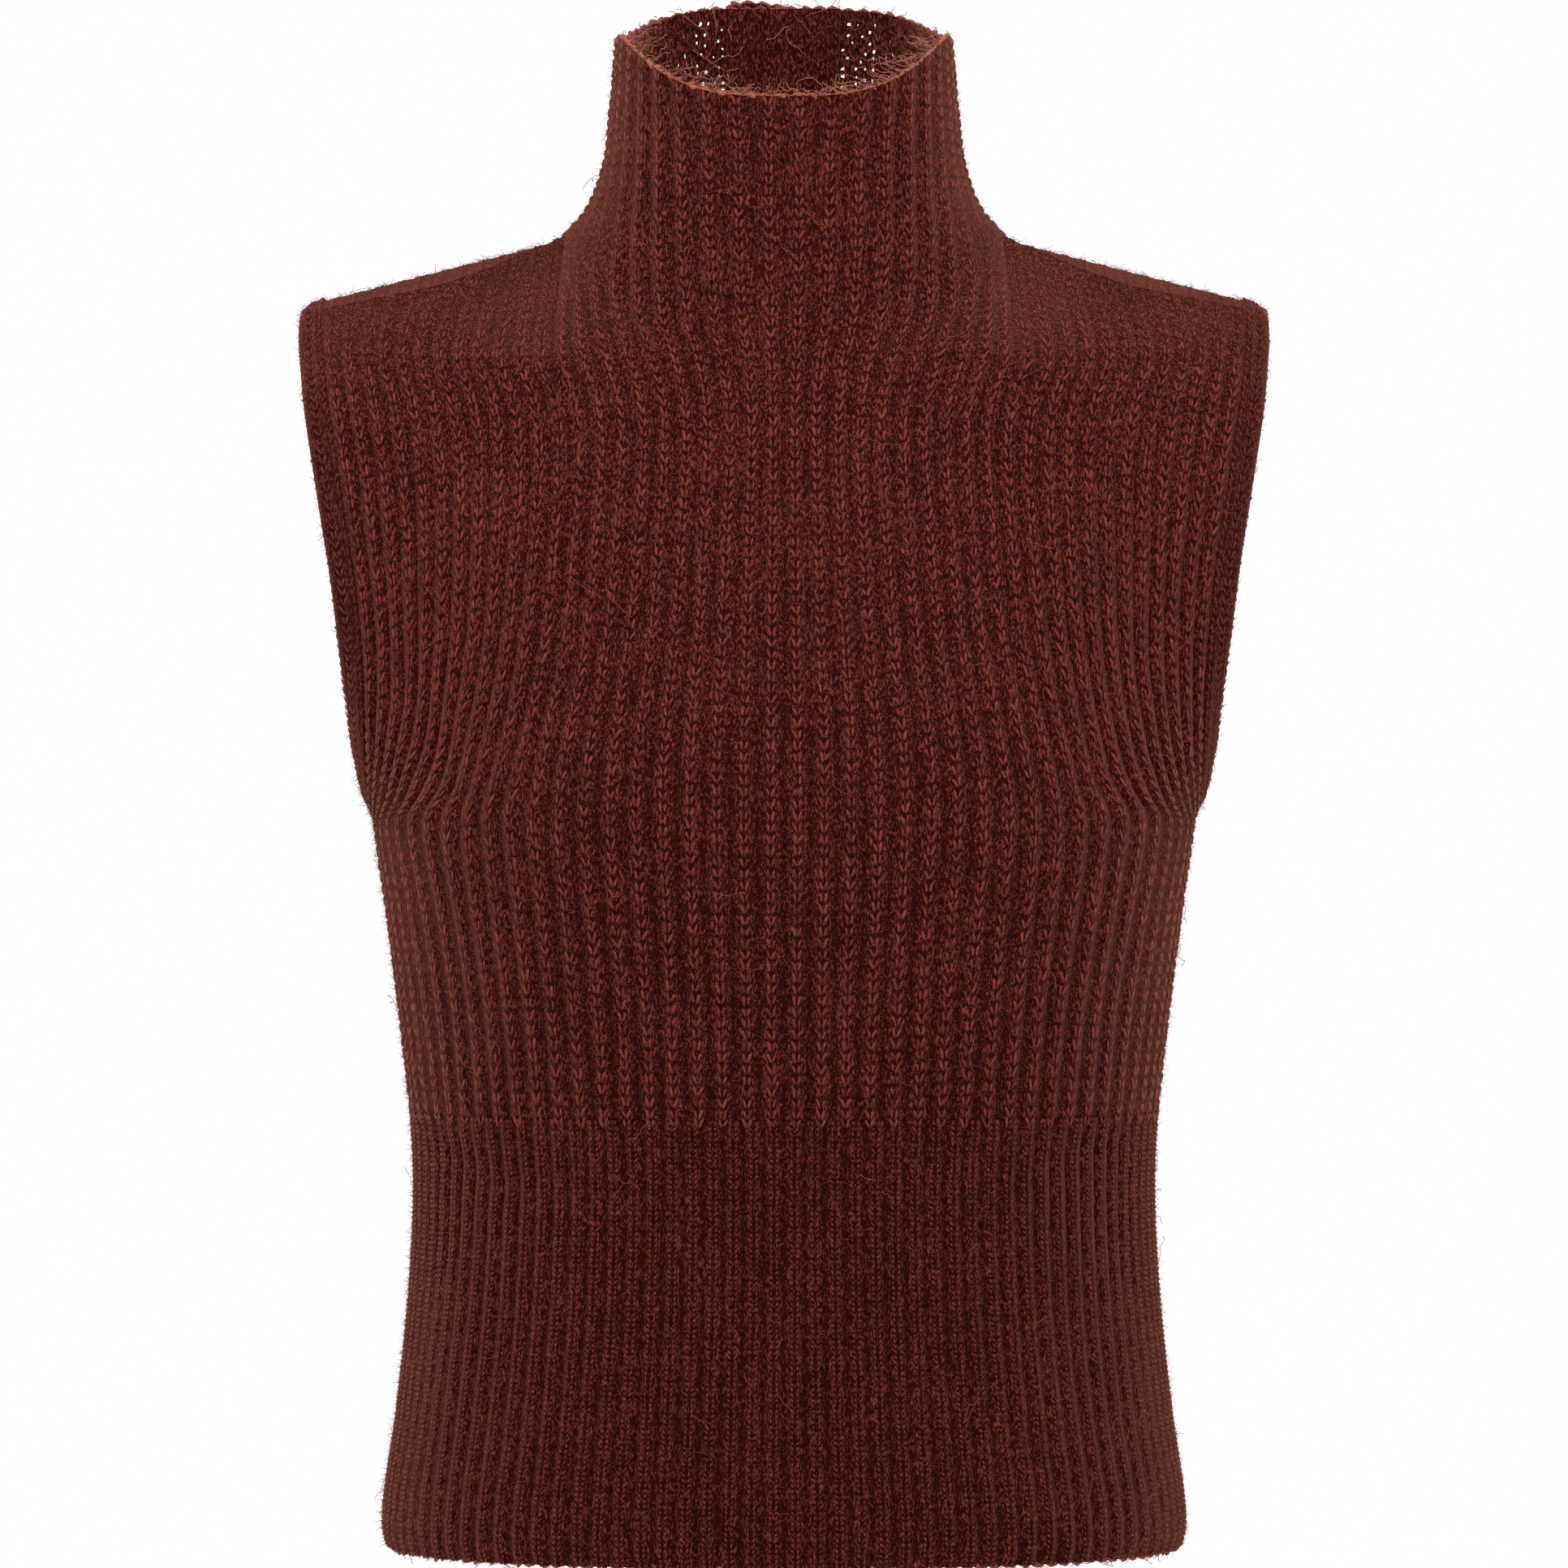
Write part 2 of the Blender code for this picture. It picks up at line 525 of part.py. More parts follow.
def make_armhole_band(name, front, front_top, back, side):
    """The knitted edging round one armhole: a flat, round-edged band on the panels' edges."""
    loop, away = armhole_edge(front, front_top, back, side)
    loop, away = with_midpoints(loop), with_midpoints(away)
    stations = len(loop)
    droop = np.clip((loop[:, 2] - BAND_DROOP_FROM) / BAND_DROOP_OVER, 0, 1) * BAND_DROOP
    for _ in range(BAND_PASSES):
        away = (np.roll(away, 1, axis=0) + 2 * away + np.roll(away, -1, axis=0)) / 4
    away = unit(away - np.array([0, 0, 1]) * droop[:, None])
    run = unit(np.roll(loop, -1, axis=0) - np.roll(loop, 1, axis=0))
    face = unit(np.cross(run, away))
    inset = -(WALL - RIB_RISE) / 2
    outwards = face * np.sign((face * loop * (1, 1, 0)).sum(axis=1, keepdims=True))
    centre = loop + away * (BAND_WIDTH / 2 + SEAM_GAP) + outwards * inset
    angle = np.arange(BAND_SIDES) / BAND_SIDES * 2 * math.pi
    ring = (
        centre[:, None]
        + away[:, None] * np.cos(angle)[None, :, None] * BAND_WIDTH / 2
        + face[:, None] * np.sin(angle)[None, :, None] * BAND_THICK / 2
    )
    points = [tuple(p) for p in ring.reshape(-1, 3)]
    faces = []
    for i in range(stations):
        for k in range(BAND_SIDES):
            j, m = (i + 1) % stations, (k + 1) % BAND_SIDES
            corners = [i * BAND_SIDES + k, i * BAND_SIDES + m, j * BAND_SIDES + m, j * BAND_SIDES + k]
            faces.append(corners)
    obj = mesh_object(name, points, faces, BAND_COLOUR)
    if signed_volume(points, faces) < 0:
        obj.data.flip_normals()


def signed_volume(points, faces):
    """Positive when the faces point outwards."""
    total = 0.0
    for a, b, c, d in faces:
        p, q, r, s = (Vector(points[i]) for i in (a, b, c, d))
        total += p.dot(q.cross(r)) + p.dot(r.cross(s))
    return total


def main():
    front, front_top, back = make_body_panels()
    make_waist_rib("waist_rib_front", True)
    make_waist_rib("waist_rib_back", False)
    make_back_neck_halves()
    make_armhole_band("armhole_band_left", front, front_top, back, 1)
    make_armhole_band("armhole_band_right", front, front_top, back, -1)


for old in list(bpy.data.objects):
    bpy.data.objects.remove(old)
garment = bpy.data.collections.new("funnel_neck_vest")
bpy.context.scene.collection.children.link(garment)
main()
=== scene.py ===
"""Looks of a sleeveless funnel-neck vest in thick ribbed wool, hollow and filled out as when it is worn.

Metres, +Z up. The front faces -Y and the wearer's left is +X. Each knitted piece is a thin wall of cloth on
the form of its solid, with real yarn stitches up its ribs, an edge of loops, and loose wool over it.
"""

from __future__ import annotations

import logging
import math
from collections.abc import Callable
from dataclasses import dataclass, field, replace
from enum import Enum
from typing import ClassVar

import bpy
import numpy as np
from mathutils import Euler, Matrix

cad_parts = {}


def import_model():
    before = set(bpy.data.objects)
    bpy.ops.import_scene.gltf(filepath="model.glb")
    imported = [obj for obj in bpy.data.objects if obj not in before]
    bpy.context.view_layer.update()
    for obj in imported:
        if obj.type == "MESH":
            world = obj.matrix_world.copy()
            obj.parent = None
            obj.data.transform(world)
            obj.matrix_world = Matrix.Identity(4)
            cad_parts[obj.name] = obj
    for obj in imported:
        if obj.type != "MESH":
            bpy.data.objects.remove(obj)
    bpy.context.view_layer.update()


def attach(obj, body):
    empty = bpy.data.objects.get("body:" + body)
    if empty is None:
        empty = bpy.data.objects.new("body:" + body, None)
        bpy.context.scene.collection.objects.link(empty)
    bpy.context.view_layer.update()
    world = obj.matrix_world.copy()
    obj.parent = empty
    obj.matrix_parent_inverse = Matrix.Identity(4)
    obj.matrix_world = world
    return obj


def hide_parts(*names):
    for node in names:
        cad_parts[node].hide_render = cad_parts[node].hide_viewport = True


LOG = logging.getLogger("vest")

Array, Socket = np.ndarray, bpy.types.NodeSocket
Material, Piece = bpy.types.Material, bpy.types.Object
Colour = tuple[float, float, float]
Point = tuple[float, float, float]

# ---- Sizes that the pieces share with their solids ----
WALL = 0.0022  # cloth between the inside and the bottom of a groove
RIB_RISE = 0.0018  # height of a rib over its grooves
SEAM_GAP = 0.0003  # between two pieces that are sewn together
SIDE = SEAM_GAP / 2
FULL_RIB_PITCH = 0.0072  # ribs closer together than this are lower

BODY_RIBS = 44  # across the front, and across the back
NECK_RIBS = 20  # of those, the ones that run on up into the neck
WAIST_RIBS = 52  # across each half of the fine rib
OVERLAP_RIBS = 2  # each back half of the neck runs on past the centre by this many

NECK_HALF = 0.0970  # from the centre to where the shoulder meets the neck
NECK_POINT_Y = -0.0080
NECK_POINT_Z = -0.0010
SHOULDER_SLOPE = 0.255
CREST_Y = 0.0020
CREST_SINK = 0.0010
WAIST_LINE_Z = -0.3880

DENSE = 8  # fine rows for each step between two sections
OUTLINE_SAMPLES = 240
SEAM_SAMPLES = 12
SECTION_RISE = 2.0
NECK_RISE_FRONT = 3.2
NECK_RISE_BACK = 4.0
BASE_SOFTNESS = 0.5  # how far the front's neck base is drawn towards the rows below and above it
WAIST_EASE = 0.04


@dataclass(frozen=True)
class Section:
    """A section of a body panel, from its centre to its edge.

    turn is how far it has turned from facing forward at the edge, square is its squareness, ease spreads the
    ribs towards the centre, and steps weighs the way up to the next section.
    """

    z_mid: float
    z_edge: float
    y_mid: float
    half: float
    y_edge: float
    turn: float
    square: float
    ease: float
    steps: int


FRONT = (
    Section(WAIST_LINE_Z, WAIST_LINE_Z, -0.108, 0.1638, -SIDE, 90, 2.25, 0.05, 2),
    Section(-0.342, -0.344, -0.1145, 0.1688, -SIDE, 90, 2.3, 0.03, 1),
    Section(-0.297, -0.302, -0.1212, 0.174, -SIDE, 90, 2.4, 0.02, 1),
    Section(-0.254, -0.2603, -0.1245, 0.1797, -SIDE, 90, 2.5, 0.01, 1),
    Section(-0.232, -0.253, -0.1232, 0.1812, -0.025, 84, 2.4, 0.11, 1),
    Section(-0.208, -0.235, -0.119, 0.1822, -0.045, 76, 2.2, 0.17, 1),
    Section(-0.172, -0.2, -0.1108, 0.1832, -0.062, 68, 2.05, 0.16, 1),
    Section(-0.131, -0.155, -0.1005, 0.187, -0.07, 62, 2.00, 0.12, 1),
    Section(-0.097, -0.11, -0.091, 0.1935, -0.066, 60, 2.00, 0.05, 1),
    Section(-0.075, -0.076, -0.085, 0.199, -0.055, 58, 2.00, 0.05, 1),
    Section(-0.062, -0.053, -0.0815, 0.202, -0.041, 56, 2.00, 0.1, 2),
)
BACK = (
    Section(WAIST_LINE_Z, WAIST_LINE_Z, 0.088, 0.1638, SIDE, 90, 2.25, 0.05, 2),
    Section(-0.343, -0.344, 0.0842, 0.1688, SIDE, 90, 2.3, 0.03, 1),
    Section(-0.299, -0.302, 0.0845, 0.174, SIDE, 90, 2.4, 0.02, 1),
    Section(-0.255, -0.2603, 0.088, 0.1797, SIDE, 90, 2.5, 0.01, 1),
    Section(-0.235, -0.2515, 0.0905, 0.1787, 0.025, 84, 2.3, 0.11, 1),
    Section(-0.212, -0.23, 0.0925, 0.1738, 0.045, 76, 2.15, 0.15, 1),
    Section(-0.175, -0.192, 0.094, 0.1665, 0.062, 66, 2.00, 0.14, 1),
    Section(-0.135, -0.148, 0.0915, 0.166, 0.068, 60, 2.00, 0.12, 1),
    Section(-0.095, -0.104, 0.0845, 0.1745, 0.0635, 58, 2.00, 0.06, 1),
    Section(-0.06, -0.068, 0.075, 0.189, 0.05, 56, 2.00, 0.02, 1),
    Section(-0.032, -0.044, 0.068, 0.1985, 0.029, 54, 2.00, 0.00, 1),
)
CREST_STEPS = 2


@dataclass(frozen=True)
class CrestNeck:
    """The back's section at the shoulder's crest, in the stretch that lies below the neck."""

    half: float = 0.0985
    y_mid: float = 0.0635
    y_edge: float = 0.0120
    z_mid: float = -0.0140
    z_edge: float = -0.0042
    square: float = 2.10


@dataclass(frozen=True)
class Ring:
    """A ring of the neck, whose height differs at the front, the side and the back."""

    z_front: float
    z_side: float
    z_back: float
    half: float
    y_front: float
    y_back: float
    square: float
    ease: float
    steps: int


NECK = (
    Ring(-0.049, NECK_POINT_Z, NECK_POINT_Z, NECK_HALF, -0.0785, 0.06, 2.1, -0.17, 2),
    Ring(-0.024, 0.011, 0.02, 0.0862, -0.0745, 0.056, 2.2, -0.03, 1),
    Ring(0.0000, 0.027, 0.038, 0.0796, -0.0716, 0.053, 2.3, 0.08, 1),
    Ring(0.029, 0.055, 0.07, 0.0756, -0.0708, 0.051, 2.4, 0.13, 2),
    Ring(0.0555, 0.087, 0.105, 0.0728, -0.0715, 0.052, 2.5, 0.18, 0),
)


@dataclass(frozen=True)
class WaistRing:
    """A ring of the fine rib between the waist and the hem."""

    z: float
    half: float
    y_front: float
    y_back: float
    square: float
    steps: int


WAIST = (
    WaistRing(-0.58, 0.1742, -0.115, 0.1165, 2.3, 1),
    WaistRing(-0.571, 0.1762, -0.1168, 0.1182, 2.3, 2),
    WaistRing(-0.52, 0.17, -0.1125, 0.112, 2.25, 1),
    WaistRing(-0.47, 0.1648, -0.1085, 0.1025, 2.2, 1),
    WaistRing(-0.42, 0.1625, -0.1065, 0.0925, 2.2, 1),
    WaistRing(WAIST_LINE_Z - SEAM_GAP, 0.1638, -0.108, 0.088, 2.25, 0),
)

# The seam that joins front to back runs forward of the shoulder's crest.
SHOULDER_SEAM: tuple[Point, ...] = (
    (NECK_HALF, NECK_POINT_Y, NECK_POINT_Z),
    (0.1050, -0.0125, -0.0050),
    (0.1180, -0.0205, -0.0108),
    (0.1340, -0.0305, -0.0182),
    (0.1500, -0.0350, -0.0240),
    (0.1770, -0.0325, -0.0295),
    (0.2030, -0.0265, -0.0345),
)


class Layer(Enum):
    """Which face of a wall of cloth a point or a face lies on."""

    INSIDE = 0
    OUTSIDE = 1


class Half(Enum):
    """The front or the back of the vest."""

    FRONT = "front"
    BACK = "back"


class Wearer(Enum):
    """The wearer's left or right, as the sign of X."""

    LEFT = 1
    RIGHT = -1


# ---- Curves ----
def unit(vectors: Array) -> Array:
    """The same directions with a length of 1."""
    length = np.linalg.norm(vectors, axis=-1, keepdims=True)
    return vectors / np.maximum(length, 1e-9)


def length_of(points: Array) -> float:
    """The length of a polyline."""
    return float(np.linalg.norm(np.diff(points, axis=0), axis=1).sum())


def along(points: Array, fractions: Array, values: Array | None = None) -> Array:
    """Points of a polyline at fractions of its length, or what belongs to it there.

    Args:
        points: The polyline's points.
        fractions: How far along each wanted point lies, from 0 to 1.
        values: A vector for each of the polyline's points, to be read in their place.

    Returns:
        The points or the vectors there.
    """
    lengths = np.r_[0, np.cumsum(np.linalg.norm(np.diff(points, axis=0), axis=1))]
    wanted = np.asarray(fractions) * lengths[-1]
    read = points if values is None else values
    return np.column_stack([np.interp(wanted, lengths, read[:, axis]) for axis in range(3)])


def quarter(
    half: float, y_mid: float, y_edge: float, z_mid: float, z_edge: float, turn: float, square: float,
    rise: float,
) -> Array:
    """A section from the centre to its edge, as a fine polyline.

    Args:
        half: Its width to one side.
        y_mid: Its depth at the centre.
        y_edge: Its depth at the edge.
        z_mid: Its height at the centre.
        z_edge: Its height at the edge.
        turn: Degrees that it turns through.
        square: Its squareness, where 2 is an ellipse.
        rise: How late it leaves the centre's height.

    Returns:
        The polyline's points.
    """
    angle = np.linspace(0, math.radians(turn), OUTLINE_SAMPLES)
    power = 2 / square
    across = np.abs(np.sin(angle)) ** power
    back = 1 - np.abs(np.cos(angle)) ** power
    x = half * across / across[-1]
    y = y_mid + (y_edge - y_mid) * back / back[-1]
    z = z_mid + (z_edge - z_mid) * (x / half) ** rise
    return np.column_stack([x, y, z])


def eased(count: int, ease: float) -> Array:
    """Fractions from the centre to the edge, with wider steps at the centre."""
    share = np.linspace(0, 1, count + 1)
    return share + ease / math.pi * np.sin(math.pi * share)


def whole(half_row: Array) -> Array:
    """A row from edge to edge, from the half that runs from the centre to +X."""
    return np.concatenate([half_row[:0:-1] * (-1, 1, 1), half_row])


def spline(keys: list[Array], steps: list[int]) -> Array:
    """Rows that run smoothly through key rows and never past them.

    Args:
        keys: The key rows.
        steps: The number of rows up to the next key, for each one.

    Returns:
        All the rows.
    """
    keys = np.asarray(keys, float)
    gaps = np.linalg.norm(np.diff(keys, axis=0), axis=2).mean(axis=1)
    slopes = np.diff(keys, axis=0) / gaps[:, None, None]
    tangents = np.empty_like(keys)
    tangents[0], tangents[-1] = slopes[0], slopes[-1]
    for k in range(1, len(keys) - 1):
        before, after = gaps[k - 1], gaps[k]
        level_out = slopes[k - 1] * slopes[k] <= 0
        blend = (slopes[k - 1] * after + slopes[k] * before) / (before + after)
        tangents[k] = np.where(level_out, 0, blend)
    rows = []
    for k in range(len(keys) - 1):
        for t in np.arange(steps[k]) / steps[k]:
            rows.append(
                keys[k] * (2 * t**3 - 3 * t**2 + 1)
                + tangents[k] * gaps[k] * (t**3 - 2 * t**2 + t)
                + keys[k + 1] * (3 * t**2 - 2 * t**3)
                + tangents[k + 1] * gaps[k] * (t**3 - t**2)
            )
    rows.append(keys[-1])
    return np.array(rows)


def even_courses(rows: Array, courses: int) -> Array:
    """The same columns, with as many even steps along each as there are courses of stitches."""
    fractions = np.linspace(0, 1, courses + 1)
    return np.stack([along(rows[:, c], fractions) for c in range(rows.shape[1])], axis=1)


def body_row(section: Section, columns: int) -> Array:
    """A row of a body panel from edge to edge.

    Args:
        section: The section that it follows.
        columns: The columns on each side of the centre.

    Returns:
        The row's points.
    """
    outline = quarter(
        section.half, section.y_mid, section.y_edge, section.z_mid, section.z_edge,
        section.turn, section.square, SECTION_RISE,
    )
    return whole(along(outline, eased(columns, section.ease)))


def neck_outline(ring: Ring, half: Half) -> Array:
    """A quarter of a neck ring, from its middle to the side of the neck.

    Args:
        ring: The ring.
        half: Which half of the neck the quarter belongs to.

    Returns:
        The quarter as a fine polyline.
    """
    front = half is Half.FRONT
    y_mid, z_mid = (ring.y_front, ring.z_front) if front else (ring.y_back, ring.z_back)
    rise = NECK_RISE_FRONT if front else NECK_RISE_BACK
    side_y = NECK_POINT_Y + (-SIDE if front else SIDE)
    return quarter(ring.half, y_mid, side_y, z_mid, ring.z_side, 90, ring.square, rise)


def inward(count: int) -> Array:
    """A share for each column of the neck: 1 across its middle, and falling to 0 at its two edges."""
    return (1 - np.linspace(-1, 1, count) ** 4)[:, None]


def softened(base: Array, below: Array, above: Array) -> Array:
    """The base of the neck, moved so that the ribs run on from the chest without a crease."""
    return base + BASE_SOFTNESS * inward(len(base)) * ((below + above) / 2 - base)


def shoulder_half(columns: int) -> Array:
    """The shoulder seam from the neck to the armhole, without its first point."""
    seam, steps = list(np.array(SHOULDER_SEAM)[:, None]), [SEAM_SAMPLES] * (len(SHOULDER_SEAM) - 1) + [0]
    return along(spline(seam, steps)[:, 0], eased(columns, 0))[1:]


# ---- Knitted pieces ----
@dataclass
class Knit:
    """A knitted piece as a grid of points: courses of stitches go up it and ribs lie across it.

    The points lie at the bottom of the grooves on the outside. cells says which courses of which ribs exist.
    """

    name: str
    points: Array
    outward: Array
    cells: Array
    columns: int  # of the grid, for each rib
    rows: int = 1  # of the grid, for each course
    rise: float = RIB_RISE
    gaps: Array | None = None  # grid cells that are left open
    relief: Array | None = None  # the share of the rise that felting leaves at each grid point
    narrowness: float = 1.4  # how much slimmer a rib's top is than half a sine wave's

    @property
    def ribs(self) -> int:
        """The number of ribs across the piece."""
        return (self.points.shape[1] - 1) // self.columns

    def ridge(self) -> Array:
        """How high each grid point's rib stands over its grooves.

        Returns:
            A height for each grid point.
        """
        columns = np.arange(self.points.shape[1])
        profile = np.sin(math.pi * (columns % self.columns) / self.columns) ** self.narrowness
        pitch = np.linalg.norm(np.gradient(self.points, axis=1), axis=2) * self.columns
        height = profile * np.clip(pitch / FULL_RIB_PITCH, 0, 1) * self.rise
        return height if self.relief is None else height * self.relief

    def outside(self) -> Array:
        """The outer face's points, ribs and all."""
        return self.points + self.outward * self.ridge()[..., None]


def normals_of(grid: Array, there: Array, passes: int) -> Array:
    """Outward normals of a grid of points, of which only some are there.

    Args:
        grid: The points.
        there: Which of them exist.
        passes: How often the normals are smoothed.

    Returns:
        A unit normal for each point.
    """
    filled = np.where(there[..., None], grid, np.nan)

    def difference(axis: int) -> Array:
        """The mean step to the neighbours that exist.

        Args:
            axis: The grid's axis to step along.

        Returns:
            The step at each point.
        """
        ahead = np.diff(filled, axis=axis)
        pad = [(0, 0)] * 3
        pad[axis] = (0, 1)
        forward = np.pad(ahead, pad, constant_values=np.nan)
        pad[axis] = (1, 0)
        backward = np.pad(ahead, pad, constant_values=np.nan)
        both = np.stack([forward, backward])
        known = ~np.isnan(both)
        return np.where(known, both, 0).sum(axis=0) / np.maximum(known.sum(axis=0), 1)

    normal = unit(np.cross(difference(1), difference(0)))
    for _ in range(passes):
        padded = np.pad(np.where(there[..., None], normal, 0), ((1, 1), (1, 1), (0, 0)))
        around = padded[:-2, 1:-1] + padded[2:, 1:-1] + padded[1:-1, :-2] + padded[1:-1, 2:]
        normal = unit(2 * padded[1:-1, 1:-1] + around)
    return normal


def level(normal: Array) -> Array:
    """The same normals without their rise, so that two pieces meet on a flat plane."""
    return unit(normal * (1, 1, 0))


def new_object(name: str, mesh: bpy.types.Mesh) -> Piece:
    """Adds a piece to the scene.

    Args:
        name: Its name.
        mesh: Its mesh.

    Returns:
        The piece.
    """
    piece = bpy.data.objects.new(name, mesh)
    bpy.context.scene.collection.objects.link(piece)
    return piece


def knitted_object(
    name: str, points: list, faces: list, places: Array, outside: Array,
    material: Material, sharp: float | None = None,
) -> Piece:
    """A wall of cloth as a piece, with its ribs and courses as a UV map and its outer faces marked.

    Args:
        name: The knitted piece's name.
        points: The wall's points.
        faces: Its faces.
        places: The rib and the course that each point lies at.
        outside: Whether each face lies on the outside.
        material: The cloth's finish.
        sharp: The angle from which its edges are sharp, or None where none are.

    Returns:
        The piece.
    """
    mesh = bpy.data.meshes.new(name + "_cloth")
    mesh.from_pydata(points, [], faces)
    knitting = mesh.uv_layers.new(name="knitting")
    corners = np.empty(len(mesh.loops), np.int32)
    mesh.loops.foreach_get("vertex_index", corners)
    knitting.data.foreach_set("uv", places[corners].astype(np.float32).ravel())
    mesh.attributes.new("outside", "BOOLEAN", "FACE").data.foreach_set("value", outside)
    mesh.shade_smooth()
    if sharp is not None:
        mesh.set_sharp_from_angle(angle=sharp)
    mesh.materials.append(material)
    return new_object(name + "_cloth", mesh)


class WallBuilder:
    """Makes the closed wall of one knitted piece: ribs raised outside, and a plainer inside."""

    SHARP = math.radians(55)

    def __init__(self, knit: Knit, stride: int) -> None:
        """Takes the piece.

        Args:
            knit: The piece.
            stride: How many outer columns each inner one stands for.
        """
        self.knit = knit
        self.stride = stride
        self.inner = (knit.points - knit.outward * WALL)[:, ::stride]
        self.outer = knit.outside()
        self.points: list[tuple] = []
        self.places: list[tuple[float, float]] = []
        self.index: dict[tuple, int] = {}
        self.faces: list[tuple] = []
        self.outside: list[bool] = []
        per_rib = knit.columns // stride
        self.there = np.repeat(np.repeat(knit.cells, knit.rows, axis=0), per_rib, axis=1)
        if knit.gaps is not None:
            self.there &= ~knit.gaps

    def point(self, layer: Layer, row: int, column: int) -> int:
        """The index of a grid point of one layer, which is added when it is first asked for.

        Args:
            layer: The layer.
            row: The grid's row.
            column: The layer's own column.

        Returns:
            The index.
        """
        key = (layer, row, column)
        if key not in self.index:
            self.index[key] = len(self.points)
            source = self.outer if layer is Layer.OUTSIDE else self.inner
            self.points.append(tuple(source[row, column]))
            across = column if layer is Layer.OUTSIDE else column * self.stride
            self.places.append((across / self.knit.columns, row / self.knit.rows))
        return self.index[key]

    def add(self, face: tuple, outside: bool = False) -> None:
        """Adds one face."""
        self.faces.append(face)
        self.outside.append(outside)

    def exists(self, row: int, column: int) -> bool:
        """Whether a cell is there."""
        rows, columns = self.there.shape
        return 0 <= row < rows and 0 <= column < columns and bool(self.there[row, column])

    def cell(self, row: int, column: int) -> None:
        """Adds a cell's faces inside and outside, and a side wherever it has no neighbour.

        Args:
            row: The cell's row.
            column: Its column on the inner layer.
        """
        stride, middle = self.stride, self.stride // 2
        start = column * stride
        low = [self.point(Layer.OUTSIDE, row, start + k) for k in range(stride + 1)]
        high = [self.point(Layer.OUTSIDE, row + 1, start + k) for k in range(stride + 1)]
        a, b = (self.point(Layer.INSIDE, row, column + k) for k in (0, 1))
        d, e = (self.point(Layer.INSIDE, row + 1, column + k) for k in (0, 1))
        for k in range(stride):
            self.add((low[k], low[k + 1], high[k + 1], high[k]), outside=True)
        self.add((a, d, e, b))
        if not self.exists(row - 1, column):
            for k in range(stride):
                self.add((low[k + 1], low[k], a if k < middle else b))
            self.add((a, b, low[middle]))
        if not self.exists(row + 1, column):
            for k in range(stride):
                self.add((high[k], high[k + 1], d if k < middle else e))
            self.add((e, d, high[middle]))
        if not self.exists(row, column - 1):
            self.add((low[0], high[0], d, a))
        if not self.exists(row, column + 1):
            self.add((high[-1], low[-1], b, e))

    def build(self, material: Material) -> Piece:
        """Makes the wall.

        Args:
            material: The cloth's finish.

        Returns:
            The piece.
        """
        for row, column in zip(*np.nonzero(self.there)):
            self.cell(int(row), int(column))
        places, outside = np.asarray(self.places), np.asarray(self.outside)
        return knitted_object(self.knit.name, self.points, self.faces, places, outside, material, self.SHARP)


def eased_step(value: Array, low: float, high: float) -> Array:
    """A smooth step from 0 at the low value to 1 at the high one."""
    t = np.clip((value - low) / (high - low), 0, 1)
    return t * t * (3 - 2 * t)


@dataclass(frozen=True)
class Crease:
    """A soft fold in the cloth, as seen from the front or the back: a trough where depth is negative."""

    x: float
    z: float
    to_x: float
    to_z: float
    width: float
    depth: float


def fold(points: Array, outward: Array, creases: tuple[Crease, ...]) -> Array:
    """Moves the cloth in or out along its creases.

    Args:
        points: The grid's points.
        outward: Their normals.
        creases: The folds.

    Returns:
        The points with the folds in them.
    """
    flat = points[..., (0, 2)]
    seam_clear, seam_far = 0.004, 0.040  # where the folds start to fade towards a side seam, and end
    blunt = 0.12  # of half a wave at each end of a fold, so that it fades and doesn't stop
    moved = np.zeros(points.shape[:2])
    for crease in creases:
        start = np.array((crease.x, crease.z))
        run = np.array((crease.to_x, crease.to_z)) - start
        share = np.clip(((flat - start) @ run) / (run @ run), 0, 1)
        away = np.linalg.norm(flat - start - share[..., None] * run, axis=2)
        taper = np.sin(math.pi * (blunt + (1 - 2 * blunt) * share))
        moved += crease.depth * taper * np.exp(-((away / crease.width) ** 2))
    clear = eased_step(np.abs(points[..., 1]), seam_clear, seam_far)
    return points + outward * (moved * clear)[..., None]


# Down from the armholes and the sides, at the neck's base, under the bust, at the waist, in the fine rib.
FRONT_CREASES = (
    Crease(-0.185, -0.15, -0.14, -0.255, 0.013, -0.0024),
    Crease(-0.168, -0.21, -0.12, -0.29, 0.011, -0.0017),
    Crease(0.182, -0.135, 0.135, -0.235, 0.014, -0.0021),
    Crease(0.165, -0.225, 0.105, -0.262, 0.01, -0.0019),
    Crease(-0.15, -0.285, -0.135, -0.37, 0.012, -0.0017),
    Crease(0.148, -0.3, 0.138, -0.372, 0.01, -0.0014),
    Crease(-0.076, -0.012, -0.035, -0.052, 0.012, -0.0016),
    Crease(0.078, -0.01, 0.04, -0.048, 0.012, -0.0014),
    Crease(-0.06, -0.235, -0.02, -0.3, 0.018, 0.0013),
    Crease(0.052, -0.225, 0.022, -0.315, 0.016, 0.0011),
    Crease(-0.155, -0.4, -0.1, -0.428, 0.009, -0.0019),
    Crease(0.15, -0.396, 0.108, -0.412, 0.008, -0.0015),
    Crease(0.12, -0.47, 0.145, -0.54, 0.013, -0.0012),
    Crease(-0.135, -0.455, -0.15, -0.545, 0.014, 0.0012),
)
